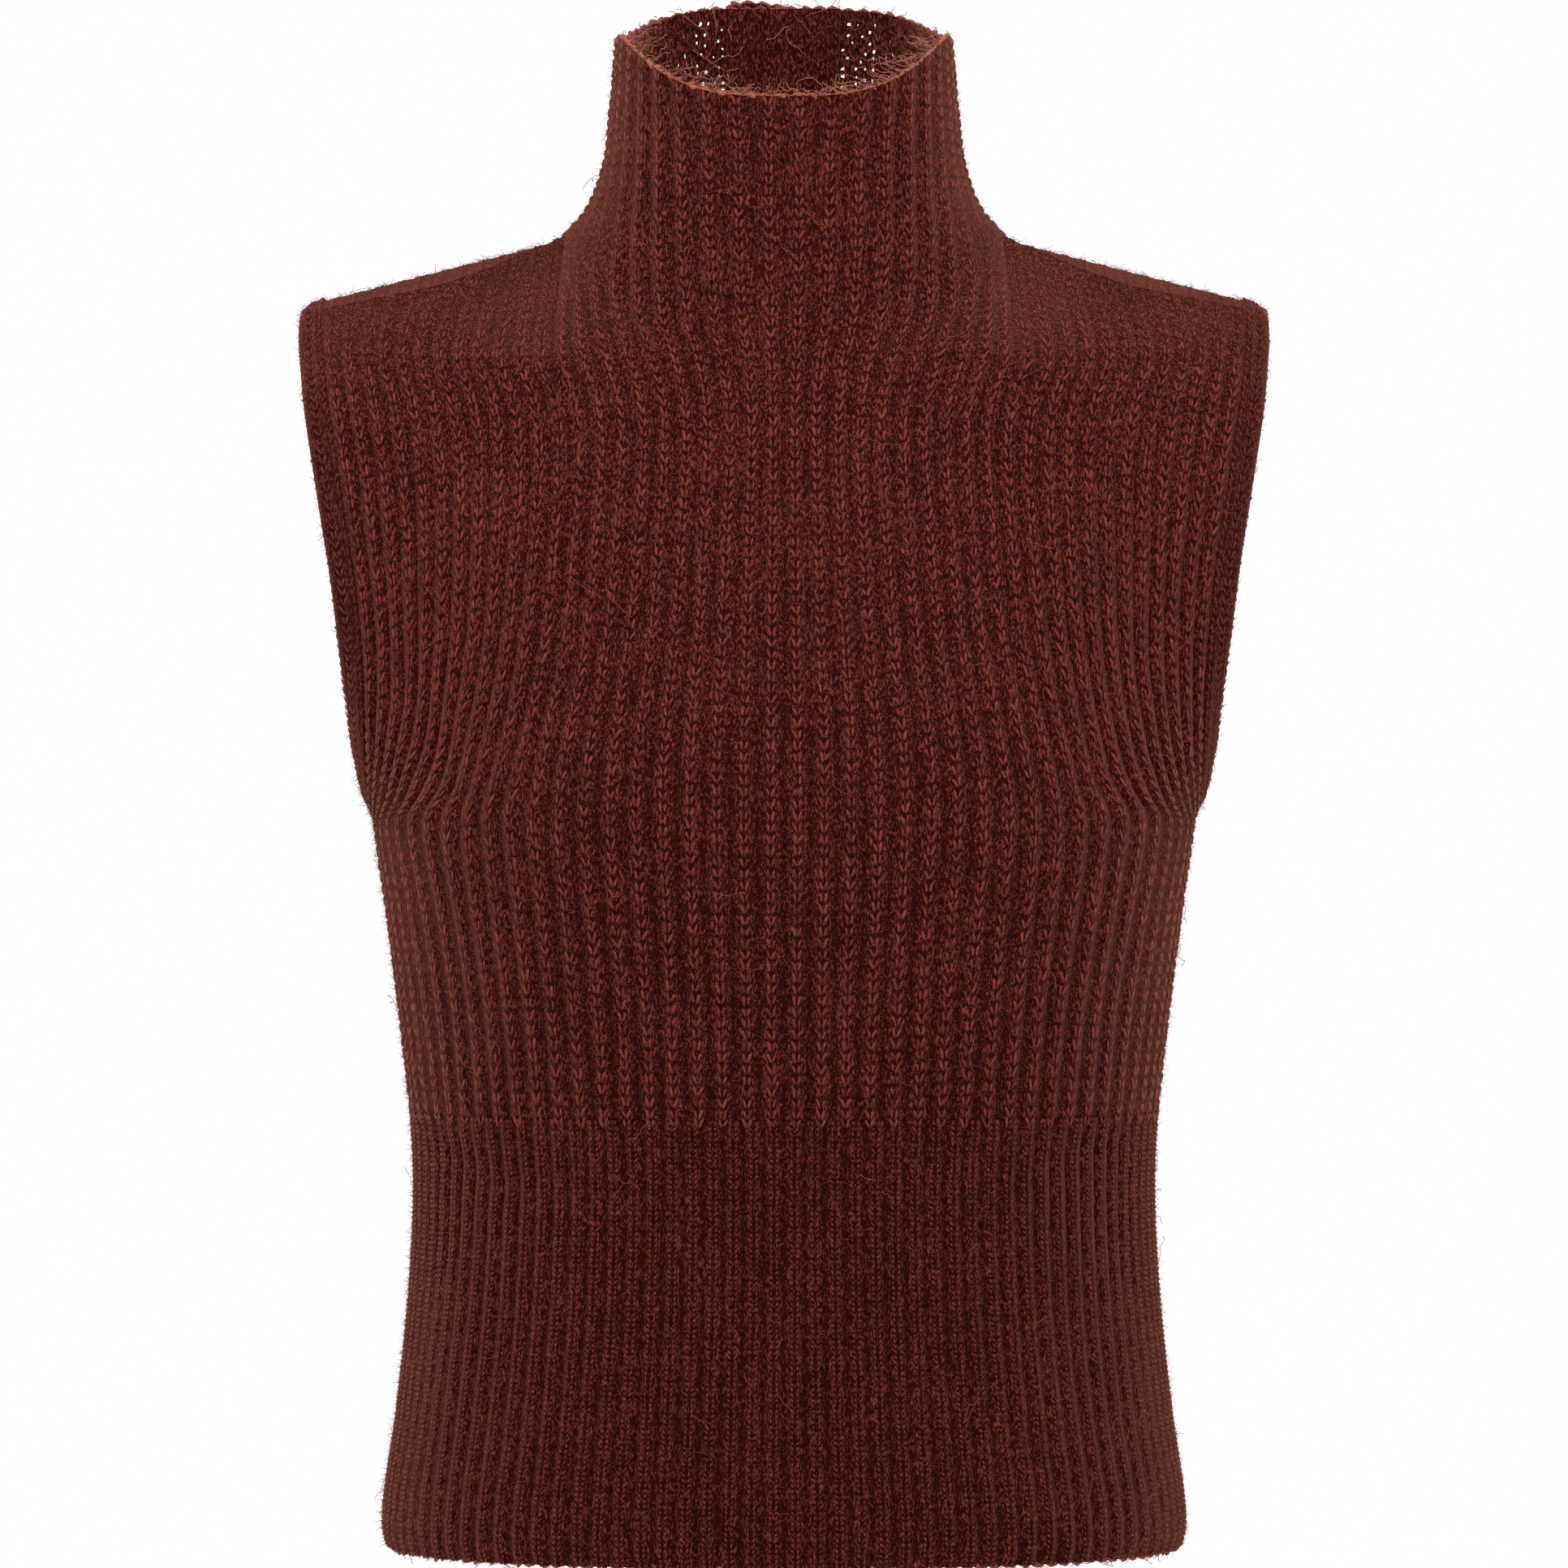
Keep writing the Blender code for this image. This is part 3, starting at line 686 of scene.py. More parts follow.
# Down from the armholes, over the shoulder blades, in the small of the back, on the spine, in the fine rib.
BACK_CREASES = (
    Crease(-0.156, -0.17, -0.11, -0.265, 0.013, -0.0022),
    Crease(0.154, -0.155, 0.118, -0.245, 0.012, -0.0019),
    Crease(-0.05, -0.125, 0.038, -0.138, 0.015, -0.0018),
    Crease(-0.142, -0.32, -0.065, -0.35, 0.012, -0.0026),
    Crease(0.14, -0.332, 0.055, -0.364, 0.011, -0.0023),
    Crease(-0.09, -0.396, 0.03, -0.408, 0.01, -0.002),
    Crease(0.035, -0.27, 0.02, -0.345, 0.02, -0.0016),
    Crease(0.13, -0.45, 0.1, -0.53, 0.013, 0.0012),
)


@dataclass
class BodyPanels:
    """The front, knitted in one with the front of the neck, and the back, which comes over the shoulders."""

    columns: int = 4  # of faces across each rib
    body_courses: int = 70
    neck_courses: int = 21
    back_courses: int = 81
    passes: int = 8
    front: Knit = field(init=False)
    back: Knit = field(init=False)
    felt_left: float = 0.16  # the share of the ribs' rise that is left on top of the shoulders
    felt_up: tuple[float, float] = (-0.052, -0.016)  # above its slope, where that starts and is full
    felt_out: tuple[float, float] = (0.055, 0.090)  # and out from the centre

    def __post_init__(self) -> None:
        """Works out both grids, and one shared normal wherever the two pieces meet."""
        (front, there), back = self.front_points(), self.back_points()
        side, top = self.side, self.body_courses
        front_out = normals_of(front, there, self.passes)
        back_out = normals_of(back, np.ones(back.shape[:2], bool), self.passes)
        front_out[0], back_out[0] = level(front_out[0]), level(back_out[0])
        for low, high in ((0, side + 1), (-side - 1, None)):
            seam = unit(front_out[top, low:high] + back_out[-1, ::-1][low:high])
            front_out[top, low:high] = seam
            back_out[-1, ::-1][low:high] = seam
        between = slice(side + 1, -side - 1)
        back_out[-1, between] = level(back_out[-1, between])
        for edge in (side, -side - 1):
            outwards = np.array([np.sign(front[top, edge, 0]), 0, 0])
            front_out[top + 1 :, edge] = outwards
            front_out[top, edge] = back_out[-1, ::-1][edge] = unit(outwards + (0, 0, 1))
        for edge in (0, -1):
            outwards = np.array([np.sign(front[0, edge, 0]), 0, 0])
            under_front = front[: top + 1, edge, 1] > -2 * SIDE
            under_back = back[:, -1 - edge, 1] < 2 * SIDE
            front_out[: top + 1, edge][under_front] = outwards
            back_out[:, -1 - edge][under_back] = outwards
        cells = np.ones((front.shape[0] - 1, BODY_RIBS), bool)
        beside = (BODY_RIBS - NECK_RIBS) // 2
        cells[top:, :beside] = False
        cells[top:, -beside:] = False
        front = fold(front, front_out, FRONT_CREASES)
        back = fold(back, back_out, BACK_CREASES)
        self.front = Knit("front_panel", front, front_out, cells, self.columns)
        self.back = Knit(
            "back_panel", back, back_out, np.ones((back.shape[0] - 1, BODY_RIBS), bool), self.columns
        )
        for knit in (self.front, self.back):
            knit.relief = self.felted(knit.points)

    @property
    def half(self) -> int:
        """Columns from the centre to an edge."""
        return BODY_RIBS * self.columns // 2

    @property
    def side(self) -> int:
        """Columns of a shoulder, from the armhole to the neck."""
        return (BODY_RIBS - NECK_RIBS) * self.columns // 2

    def felted(self, points: Array) -> Array:
        """How much of the ribs' rise is left, which is little over the shoulders and beside the neck.

        Args:
            points: A piece's grid.

        Returns:
            A share for each grid point.
        """
        x, z = np.abs(points[..., 0]), points[..., 2]
        over = eased_step(z + SHOULDER_SLOPE * (x - NECK_HALF), *self.felt_up)
        beside = eased_step(x, *self.felt_out)
        return 1 - (1 - self.felt_left) * over * beside

    def front_points(self) -> tuple[Array, Array]:
        """The front's grid.

        Returns:
            The points, and which of them exist.
        """
        half, side = self.half, self.side
        keys = [body_row(s, half) for s in FRONT] + [self.top_row(Half.FRONT)]
        steps = [s.steps * DENSE for s in FRONT] + [0]
        body_rows = sum(steps)
        middle = slice(side, 2 * half - side + 1)
        rings = [whole(along(neck_outline(r, Half.FRONT), eased(half - side, r.ease))) for r in NECK[1:]]
        keys[-1][middle] = softened(keys[-1][middle], keys[-2][middle], rings[0])
        neck_steps = steps[:-1] + [r.steps * DENSE for r in NECK]
        through = spline([k[middle] for k in keys] + rings, neck_steps)
        body = spline(keys, steps)
        body[:, middle] += inward(len(rings[0])) * (through[: body_rows + 1] - body[:, middle])
        neck = even_courses(through[body_rows:], self.neck_courses)
        points = np.zeros((self.body_courses + self.neck_courses + 1, 2 * half + 1, 3))
        there = np.zeros(points.shape[:2], bool)
        points[: self.body_courses + 1] = even_courses(body, self.body_courses)
        points[self.body_courses :, middle] = neck
        there[: self.body_courses + 1] = True
        there[:, middle] = True
        return points, there

    def back_points(self) -> Array:
        """The back's grid, over the crest of the shoulders to the seams in front of it.

        Returns:
            The points.
        """
        keys = [body_row(s, self.half) for s in BACK] + [self.crest_row(), self.top_row(Half.BACK)]
        steps = [s.steps * DENSE for s in BACK] + [CREST_STEPS * DENSE, 0]
        return even_courses(spline(keys, steps), self.back_courses)[:, ::-1]

    def top_row(self, which: Half) -> Array:
        """A panel's last full row: the shoulder seams, and the base of the neck between them.

        Args:
            which: The panel.

        Returns:
            The row's points.
        """
        front = which is Half.FRONT
        neck = along(neck_outline(NECK[0], which), eased(self.half - self.side, NECK[0].ease))
        if not front:
            neck = neck - (0, 0, SEAM_GAP / 2)
        shift = (0, -SIDE, -SIDE / 2) if front else (0, SIDE, SIDE / 2)
        return whole(np.concatenate([neck, shoulder_half(self.side) + shift]))

    def crest_row(self) -> Array:
        """The row of the back that lies on the shoulder's crest and just below the neck.

        Returns:
            The row's points.
        """
        crest = CrestNeck()
        ends = (crest.y_mid, crest.y_edge, crest.z_mid, crest.z_edge)
        neck = quarter(crest.half, *ends, 90, crest.square, SECTION_RISE)
        x = shoulder_half(self.side)[:, 0]
        z = NECK_POINT_Z - CREST_SINK - SHOULDER_SLOPE * (x - NECK_HALF)
        shoulder = np.column_stack([x, np.full_like(x, CREST_Y), z])
        return whole(np.concatenate([along(neck, eased(self.half - self.side, NECK[0].ease)), shoulder]))


@dataclass
class WaistHalf:
    """Half of the fine rib, from side seam to side seam, down to the hem."""

    half: Half
    columns: int = 4
    courses: int = 84
    passes: int = 6

    def knit(self) -> Knit:
        """Works out the piece's grid, one row for each course.

        Returns:
            The piece.
        """
        front = self.half is Half.FRONT
        columns = WAIST_RIBS * self.columns // 2
        keys = []
        for ring in WAIST:
            y_mid = ring.y_front if front else ring.y_back
            edge = -SIDE if front else SIDE
            outline = quarter(ring.half, y_mid, edge, ring.z, ring.z, 90, ring.square, 1.0)
            keys.append(whole(along(outline, eased(columns, WAIST_EASE))))
        fine = spline(keys, [r.steps * DENSE * 2 for r in WAIST])
        points = even_courses(fine, self.courses)
        if not front:
            points = points[:, ::-1]
        outward = normals_of(points, np.ones(points.shape[:2], bool), self.passes)
        outward[0], outward[-1] = level(outward[0]), level(outward[-1])
        for side in (0, -1):
            outward[:, side] = np.array([np.sign(points[0, side, 0]), 0, 0])
        points = fold(points, outward, FRONT_CREASES if front else BACK_CREASES)
        cells = np.ones((points.shape[0] - 1, WAIST_RIBS), bool)
        return Knit(f"waist_rib_{self.half.value}", points, outward, cells, self.columns)


def coarser(knit: Knit, rows: int) -> Knit:
    """The same piece with one row in its grid for so many courses."""
    points, outward, cells = (grid[::rows] for grid in (knit.points, knit.outward, knit.cells))
    return replace(knit, points=points, outward=outward, cells=cells)


@dataclass
class NeckBack:
    """The back of the neck: two halves that lap at the centre, the wearer's left one outside."""

    columns: int = 6
    rows: int = 3  # of faces for each course
    courses: int = 21
    passes: int = 6
    lap_from: float = 0.36
    lap_full: float = 0.62
    lap_play: float = 0.0002
    lap_lift: float = 0.0030
    lap_lift_at: float = 0.93
    lap_lift_spread: float = 0.10
    open_below: float = 0.66  # the share of a half's width that is loosely knitted
    gap_share: float = 0.130  # of the places in it where light comes through
    pinch: float = 0.54  # how far, at most, each gap's corners are drawn in
    spread: float = 0.25  # and drawn out
    tries: int = 9  # at each wanted gap's place
    crest: tuple[int, int] = (2, 3)  # the two faces on top of each rib
    crest_share: float = 0.5  # of the tries there that are kept
    seed: int = 11

    def halves(self) -> tuple[Knit, Knit]:
        """Works out both halves.

        Returns:
            The outer half at +X and the inner half at -X.
        """
        columns, extra = NECK_RIBS * self.columns // 2, OVERLAP_RIBS * self.columns
        keys = []
        for ring in NECK:
            row = along(neck_outline(ring, Half.BACK), eased(columns, ring.ease))
            row = row + (0, 0, SEAM_GAP / 2 if ring is NECK[0] else 0)
            keys.append(np.concatenate([row[::-1], row[1 : extra + 1] * (-1, 1, 1)]))
        fine = spline(keys, [r.steps * DENSE for r in NECK])
        grid = even_courses(fine, self.courses * self.rows)
        normal = normals_of(grid, np.ones(grid.shape[:2], bool), self.passes)
        normal[0] = level(normal[0])
        normal[:, 0] = np.array([1.0, 0, 0])
        share = np.linspace(0, 1, columns + extra + 1)
        apart = (WALL + RIB_RISE + SEAM_GAP + self.lap_play) / 2
        lap = eased_step(share, self.lap_from, self.lap_full)[None, :, None] * apart
        over = grid + normal * lap
        lift = np.exp(-(((share - self.lap_lift_at) / self.lap_lift_spread) ** 2))
        over[-1, :, 2] += lift * self.lap_lift
        under = (grid - normal * lap)[:, ::-1] * (-1, 1, 1)
        under_normal = normal[:, ::-1] * (-1, 1, 1)
        cells = np.ones((self.courses, NECK_RIBS // 2 + OVERLAP_RIBS), bool)
        left = self.loosened(Knit("neck_back_over", over, normal, cells, self.columns, self.rows), share)
        right = self.loosened(
            Knit("neck_back_under", under, under_normal, cells, self.columns, self.rows), share[::-1]
        )
        return left, right

    def loosened(self, knit: Knit, share: Array) -> Knit:
        """The same half with small gaps between its stitches.

        Args:
            knit: The half.
            share: How far across the half each column lies, from the side seam.

        Returns:
            The half with its gaps, each a little smaller than a cell of the grid.
        """
        random = np.random.default_rng(self.seed + len(knit.name))
        rows, columns = (n - 1 for n in knit.points.shape[:2])
        knit.gaps = np.zeros((rows, columns), bool)
        loose = np.nonzero(share[:-1] < self.open_below)[0]
        wanted = int(rows * len(loose) * self.gap_share)
        count = self.tries * wanted
        spots = np.column_stack([random.integers(2, rows - 3, count), random.choice(loose, count)])
        for row, column in spots:
            near = knit.gaps[row - 1 : row + 2, max(column - 1, 0) : column + 2]
            inside, on_crest = 1 < column < columns - 2, column % knit.columns in self.crest
            kept = inside and (not on_crest or random.random() < self.crest_share)
            if kept and not near.any() and knit.gaps.sum() < wanted:
                knit.gaps[row, column] = True
                corner = (slice(row, row + 2), slice(column, column + 2))
                centre = knit.points[corner].mean(axis=(0, 1))
                drawn = random.uniform(-self.spread, self.pinch, (2, 2, 1))
                knit.points[corner] += (centre - knit.points[corner]) * drawn
        return knit


@dataclass(frozen=True)
class ArmholeBand:
    """The knitted edging round one armhole: a flat, round-edged band that stands on the panels' edges."""

    wearer: Wearer
    width: float = 0.0125
    thick: float = 0.0046
    fullness: float = 0.8  # of its section, which is an ellipse at 1 and squarer below
    flat_width: float = 0.0135  # as it was knitted
    worn_width: float = 0.0130  # and as it is seen
    fuzz_density: float = 110000.0
    sides: int = 20
    ribs: int = 3  # along each face
    rise: float = 0.0006
    droop: float = 0.30  # how far it hangs over the end of the shoulder
    droop_from: float = -0.0750
    droop_over: float = 0.0450
    passes: int = 10
    tuck: float = 0.0006  # how far it reaches under the panels' loose wool
    pitch: float = 0.0042  # of its stitches

    def path(self, panels: BodyPanels) -> tuple[Array, Array]:
        """The edges of both panels round the armhole as a closed loop, and the way the cloth points there.

        Args:
            panels: The front and the back.

        Returns:
            The loop's points, and unit vectors out of the cloth's edge.
        """
        left = self.wearer is Wearer.LEFT
        top = panels.body_courses
        front, back = panels.front.points[: top + 1], panels.back.points
        f, f_next, b, b_next = (-1, -2, 0, 1) if left else (0, 1, -1, -2)
        low = int(np.argmax(front[:, f, 1] < -2 * SIDE)) - 1
        low_back = int(np.argmax(back[:, b, 1] > 2 * SIDE)) - 1
        edges = (front[low:, f], back[low_back:-1, b][::-1][:-1])
        inner = (front[low:, f_next], back[low_back:-1, b_next][::-1][:-1])
        loop = np.concatenate(edges)
        away = loop - np.concatenate(inner)
        run = unit(np.roll(loop, -1, axis=0) - np.roll(loop, 1, axis=0))
        away = unit(away - run * (away * run).sum(axis=1, keepdims=True))
        away[0] = (0, 0, 1)
        return loop, away

    def frame(self, panels: BodyPanels) -> tuple[Array, Array, Array]:
        """The band's middle line at even steps.

        Args:
            panels: The front and the back.

        Returns:
            The line's points, its way out of the cloth's edge there, and the way its face points.
        """
        loop, away = self.path(panels)
        for _ in range(self.passes):
            away = (np.roll(away, 1, axis=0) + 2 * away + np.roll(away, -1, axis=0)) / 4
        droop = np.clip((loop[:, 2] - self.droop_from) / self.droop_over, 0, 1) * self.droop
        away = unit(away - np.array([0, 0, 1]) * droop[:, None])
        closed, closed_away = np.vstack([loop, loop[:1]]), np.vstack([away, away[:1]])
        stations = int(round(length_of(closed) / self.pitch))
        at = np.arange(stations) / stations
        loop, away = along(closed, at), unit(along(closed, at, closed_away))
        run = unit(np.roll(loop, -1, axis=0) - np.roll(loop, 1, axis=0))
        face = unit(np.cross(run, away))
        face *= np.sign((face * loop * (1, 1, 0)).sum(axis=1, keepdims=True))
        centre = loop + away * (self.width / 2 - self.tuck) - face * (WALL - RIB_RISE) / 2
        return centre, away, face

    def build(self, panels: BodyPanels, wardrobe: Wardrobe, seed: int) -> None:
        """Makes the band's cloth, its rows of stitches and its loose wool.

        Args:
            panels: The front and the back.
            wardrobe: The trees and materials.
            seed: Of its stitches and wool.
        """
        name = f"armhole_band_{self.wearer.name.lower()}"
        centre, away, face = self.frame(panels)
        angle = np.arange(self.sides) / self.sides * 2 * math.pi
        ribs = 1 + self.rise / self.thick * 2 * np.abs(np.sin(angle)) * np.cos(angle * self.ribs * 2)
        across = np.sign(np.cos(angle)) * np.abs(np.cos(angle)) ** self.fullness * self.width / 2
        proud = np.sin(angle) * self.thick / 2 * ribs
        ring = centre[:, None] + away[:, None] * across[:, None] + face[:, None] * proud[:, None]
        count, sides = ring.shape[:2]
        index = np.arange(count * sides).reshape(count, sides)
        following, beside = np.roll(index, -1, axis=0), np.roll(index, -1, axis=1)
        corner = np.roll(following, -1, axis=1)
        quads = np.stack([index, beside, corner, following], axis=-1).reshape(-1, 4)
        points = ring.reshape(-1, 3)
        a, b, c, d = (points[quads[:, k]] for k in range(4))
        if (a * np.cross(b, c)).sum() + (a * np.cross(c, d)).sum() < 0:
            quads = quads[:, ::-1]
        rib, stitch = np.meshgrid(np.arange(sides) * self.ribs * 2 / sides, np.arange(count) * 1.0)
        places, outside = np.column_stack([rib.ravel(), stitch.ravel()]), np.ones(len(quads), bool)
        finish = wardrobe.cloth(BAND_WOOL)
        cloth = knitted_object(name, points.tolist(), quads.tolist(), places, outside, finish)
        seats = self.seats(centre, away, face)
        stitches = wardrobe.stitch(name + "_stitches", seats, BAND_GAUGE.faces, BAND_WOOL, Seed=seed)
        fuzz = wardrobe.fluff(name + "_fuzz", cloth, FUZZ_WOOL, Density=self.fuzz_density, Seed=seed)
        settle(cloth, "band_knit", name)
        settle(stitches, "band_knit")
        settle(fuzz, "band_knit")

    def seats(self, centre: Array, away: Array, face: Array) -> Seats:
        """Seats for the rows of small stitches on both faces of the band.

        Args:
            centre: The band's middle line.
            away: Its way out of the cloth's edge.
            face: The way its face points.

        Returns:
            The seats.
        """
        gauge, run = BAND_GAUGE, np.roll(centre, -1, axis=0) - centre
        made = Seats()
        for row in range(self.ribs):
            share = (row + 0.5) / self.ribs * 2 - 1
            full = math.sqrt(1 - share * share)
            for outer in (1, -1):
                normal = unit(face * outer * full * 2 + away * share)  # on a section twice as wide as thick
                proud = face * outer * (full * self.thick / 2 + self.rise / 2)
                at = centre + away * share * self.width / 2 + proud + run / 2
                for side in (-1, 1):
                    place = at + away * side * gauge.widest / 4
                    way = run * gauge.reach + away * side * (gauge.widest / 2 - gauge.foot)
                    length = np.linalg.norm(way, axis=1, keepdims=True)
                    girth, depth = np.full_like(length, gauge.girth), np.full_like(length, gauge.depth)
                    made.add(place, way, normal, np.concatenate([girth, length, depth], axis=1))
        return made


# ---- Node trees ----
class Wiring:
    """Adds nodes and links to one node tree."""

    def __init__(self, tree: bpy.types.NodeTree) -> None:
        """Takes the tree."""
        self.tree = tree

    def add(self, kind: str, inputs: dict | None = None, **settings: object) -> bpy.types.Node:
        """Adds one node.

        Args:
            kind: The node's type.
            inputs: A value, or another node's output, for each input by name or number.
            settings: The node's own settings.

        Returns:
            The node.
        """
        node = self.tree.nodes.new(kind)
        for name, value in settings.items():
            setattr(node, name, value)
        for key, value in (inputs or {}).items():
            if isinstance(value, Socket):
                self.tree.links.new(value, node.inputs[key])
            else:
                node.inputs[key].default_value = value
        return node

    def out(self, kind: str, inputs: dict | None = None, **settings: object) -> Socket:
        """The first output of a new node."""
        return self.add(kind, inputs, **settings).outputs[0]

    def math(self, operation: str, *values: object) -> Socket:
        """The result of a Math node."""
        return self.out("ShaderNodeMath", dict(enumerate(values)), operation=operation)

    def vector(self, operation: str, first: object, second: object) -> Socket:
        """The vector that a Vector Math node gives for two vectors."""
        return self.out("ShaderNodeVectorMath", {0: first, 1: second}, operation=operation)

    def scaled(self, vector: object, factor: object) -> Socket:
        """A vector times a number."""
        return self.out("ShaderNodeVectorMath", {0: vector, "Scale": factor}, operation="SCALE")

    def random(self, low: float, high: float, seed: object, count: int = 1) -> Socket:
        """A random number for each point, or a vector of three.

        Args:
            low: The least.
            high: The most.
            seed: Of the numbers.
            count: 1 for a number, 3 for a vector.

        Returns:
            The number or the vector.
        """
        if count == 1:
            node = self.add("FunctionNodeRandomValue", {2: low, 3: high, "Seed": seed}, data_type="FLOAT")
            return node.outputs[1]
        ends = {0: (low,) * 3, 1: (high,) * 3, "Seed": seed}
        return self.out("FunctionNodeRandomValue", ends, data_type="FLOAT_VECTOR")

    def ranged(
        self, value: object, low: float, high: float, to_low: float = 0.0, to_high: float = 1.0
    ) -> Socket:
        """A number moved from one range to another, and held inside it."""
        ends = {"From Min": low, "From Max": high, "To Min": to_low, "To Max": to_high}
        return self.out("ShaderNodeMapRange", {"Value": value} | ends)

    def mixed(self, factor: object, first: object, second: object) -> Socket:
        """Two colours mixed by a factor."""
        inputs = {"Factor": factor, 6: first, 7: second}
        return self.add("ShaderNodeMix", inputs, data_type="RGBA").outputs[2]

    def stored(
        self, geometry: object, name: str, value: object, kind: str = "FLOAT", domain: str = "INSTANCE"
    ) -> Socket:
        """The same geometry with a named attribute on it."""
        inputs = {"Geometry": geometry, "Name": name, "Value": value}
        return self.out("GeometryNodeStoreNamedAttribute", inputs, data_type=kind, domain=domain)

    def copies(self, points: object, strand: object, turn: object, size: object) -> Socket:
        """A copy of a strand on each point, turned and sized."""
        inputs = {"Points": points, "Instance": strand, "Rotation": turn, "Scale": size}
        return self.out("GeometryNodeInstanceOnPoints", inputs)

    def attribute(self, name: str, kind: str = "FLOAT_VECTOR") -> Socket:
        """What a named attribute holds."""
        node = self.add("GeometryNodeInputNamedAttribute", {"Name": name}, data_type=kind)
        return node.outputs["Attribute"]


class YarnTree:
    """A Geometry Nodes tree, with named inputs, that makes many small strands of yarn or wool."""

    SOCKETS = {float: "NodeSocketFloat", int: "NodeSocketInt", Material: "NodeSocketMaterial"}

    def __init__(self, name: str, sizes: dict[str, object]) -> None:
        """Opens the tree.

        Args:
            name: The tree's name.
            sizes: Its inputs, and what each holds at first.
        """
        self.tree = bpy.data.node_groups.new(name, "GeometryNodeTree")
        face = self.tree.interface
        face.new_socket("Geometry", in_out="INPUT", socket_type="NodeSocketGeometry")
        for label, value in sizes.items():
            kind = Material if value is None else type(value)
            socket = face.new_socket(label, in_out="INPUT", socket_type=self.SOCKETS[kind])
            if value is not None:
                socket.default_value = value
        face.new_socket("Geometry", in_out="OUTPUT", socket_type="NodeSocketGeometry")
        self.wire = Wiring(self.tree)
        self.given = self.wire.add("NodeGroupInput").outputs

    def close(self, strands: Socket) -> None:
        """Ends the tree with real meshes in the yarn's finish.

        Args:
            strands: Everything that the tree has made.
        """
        real = self.wire.out("GeometryNodeRealizeInstances", {"Geometry": strands})
        inputs = {"Geometry": real, "Material": self.given["Material"]}
        dressed = self.wire.add("GeometryNodeSetMaterial", inputs)
        self.wire.add("NodeGroupOutput", {"Geometry": dressed.outputs[0]})

    def spindle(self, girth: object, length: object, sides: int, rings: int) -> Socket:
        """A closed strand that is pointed at both ends and lies along Y.

        Args:
            girth: Its width.
            length: Its length.
            sides: The faces round it.
            rings: The faces along it.

        Returns:
            The strand's mesh.
        """
        ball = self.wire.add("GeometryNodeMeshUVSphere", {"Segments": sides, "Rings": rings, "Radius": 0.5})
        size = self.wire.out("ShaderNodeCombineXYZ", {"X": girth, "Y": girth, "Z": length})
        lying = {"Geometry": ball.outputs["Mesh"], "Rotation": (math.radians(90), 0, 0), "Scale": size}
        return self.wire.out("GeometryNodeTransform", lying)

    def arched(self, strand: Socket, length: object, arch: object, axis: str) -> Socket:
        """The same strand with its two ends bent away.

        Args:
            strand: The strand, which lies along Y.
            length: Its length.
            arch: How far its ends move.
            axis: The axis that they move against.

        Returns:
            The bent strand.
        """
        w = self.wire
        place = w.add("ShaderNodeSeparateXYZ", {0: w.out("GeometryNodeInputPosition")})
        share = w.math("DIVIDE", place.outputs["Y"], length)
        square = w.math("MULTIPLY", share, share)  # a quarter at each end
        drop = w.math("MULTIPLY", w.math("MULTIPLY", square, arch), -4.0)
        offset = w.out("ShaderNodeCombineXYZ", {axis: drop})
        return w.out("GeometryNodeSetPosition", {"Geometry": strand, "Offset": offset})

    def apply(self, name: str, mesh: bpy.types.Mesh, values: dict[str, object]) -> Piece:
        """Runs the tree on a mesh and keeps the result as a plain piece.

        Args:
            name: The new piece's name.
            mesh: The points or cloth that the strands stand on.
            values: The tree's inputs by name.

        Returns:
            The piece.
        """
        carrier = new_object(name + "_carrier", mesh)
        modifier = carrier.modifiers.new("strands", "NODES")
        modifier.node_group = self.tree
        sockets = {s.name: s.identifier for s in self.tree.interface.items_tree if s.in_out == "INPUT"}
        for label, value in values.items():
            modifier[sockets[label]] = value
        evaluated = carrier.evaluated_get(bpy.context.evaluated_depsgraph_get())
        made = bpy.data.meshes.new_from_object(evaluated)
        carrier.modifiers.remove(modifier)
        bpy.data.objects.remove(carrier)
        made.name = name
        made.shade_smooth()
        return new_object(name, made)


class StitchTree(YarnTree):
    """Stitches: one strand of yarn on each seat, along the way that the seat points."""

    def __init__(self, sides: int, rings: int) -> None:
        """Builds the tree.

        Args:
            sides: The faces round a strand.
            rings: The faces along it.
        """
        sizes = {"Arch": 0.35, "Wander": 0.20, "Uneven": 0.20, "Seed": 1, "Material": None}
        super().__init__(f"stitches_{sides}x{rings}", sizes)
        w, given = self.wire, self.given
        strand = self.arched(self.spindle(1.0, 1.0, sides, rings), 1.0, given["Arch"], "Z")
        turn = w.scaled(w.random(-1.0, 1.0, given["Seed"], 3), given["Wander"])
        axes = {
            "Primary Axis": w.vector("ADD", w.attribute("way"), turn),
            "Secondary Axis": w.attribute("outward"),
        }
        facing = w.out("FunctionNodeAxesToRotation", axes, primary_axis="Y", secondary_axis="Z")
        odd = w.random(-1.0, 1.0, w.math("ADD", given["Seed"], 7.0))
        growth = w.math("ADD", w.math("MULTIPLY", odd, given["Uneven"]), 1.0)
        placed = w.copies(given["Geometry"], strand, facing, w.scaled(w.attribute("size"), growth))
        self.close(w.stored(placed, "tint", w.random(0.0, 1.0, w.math("ADD", given["Seed"], 19.0))))


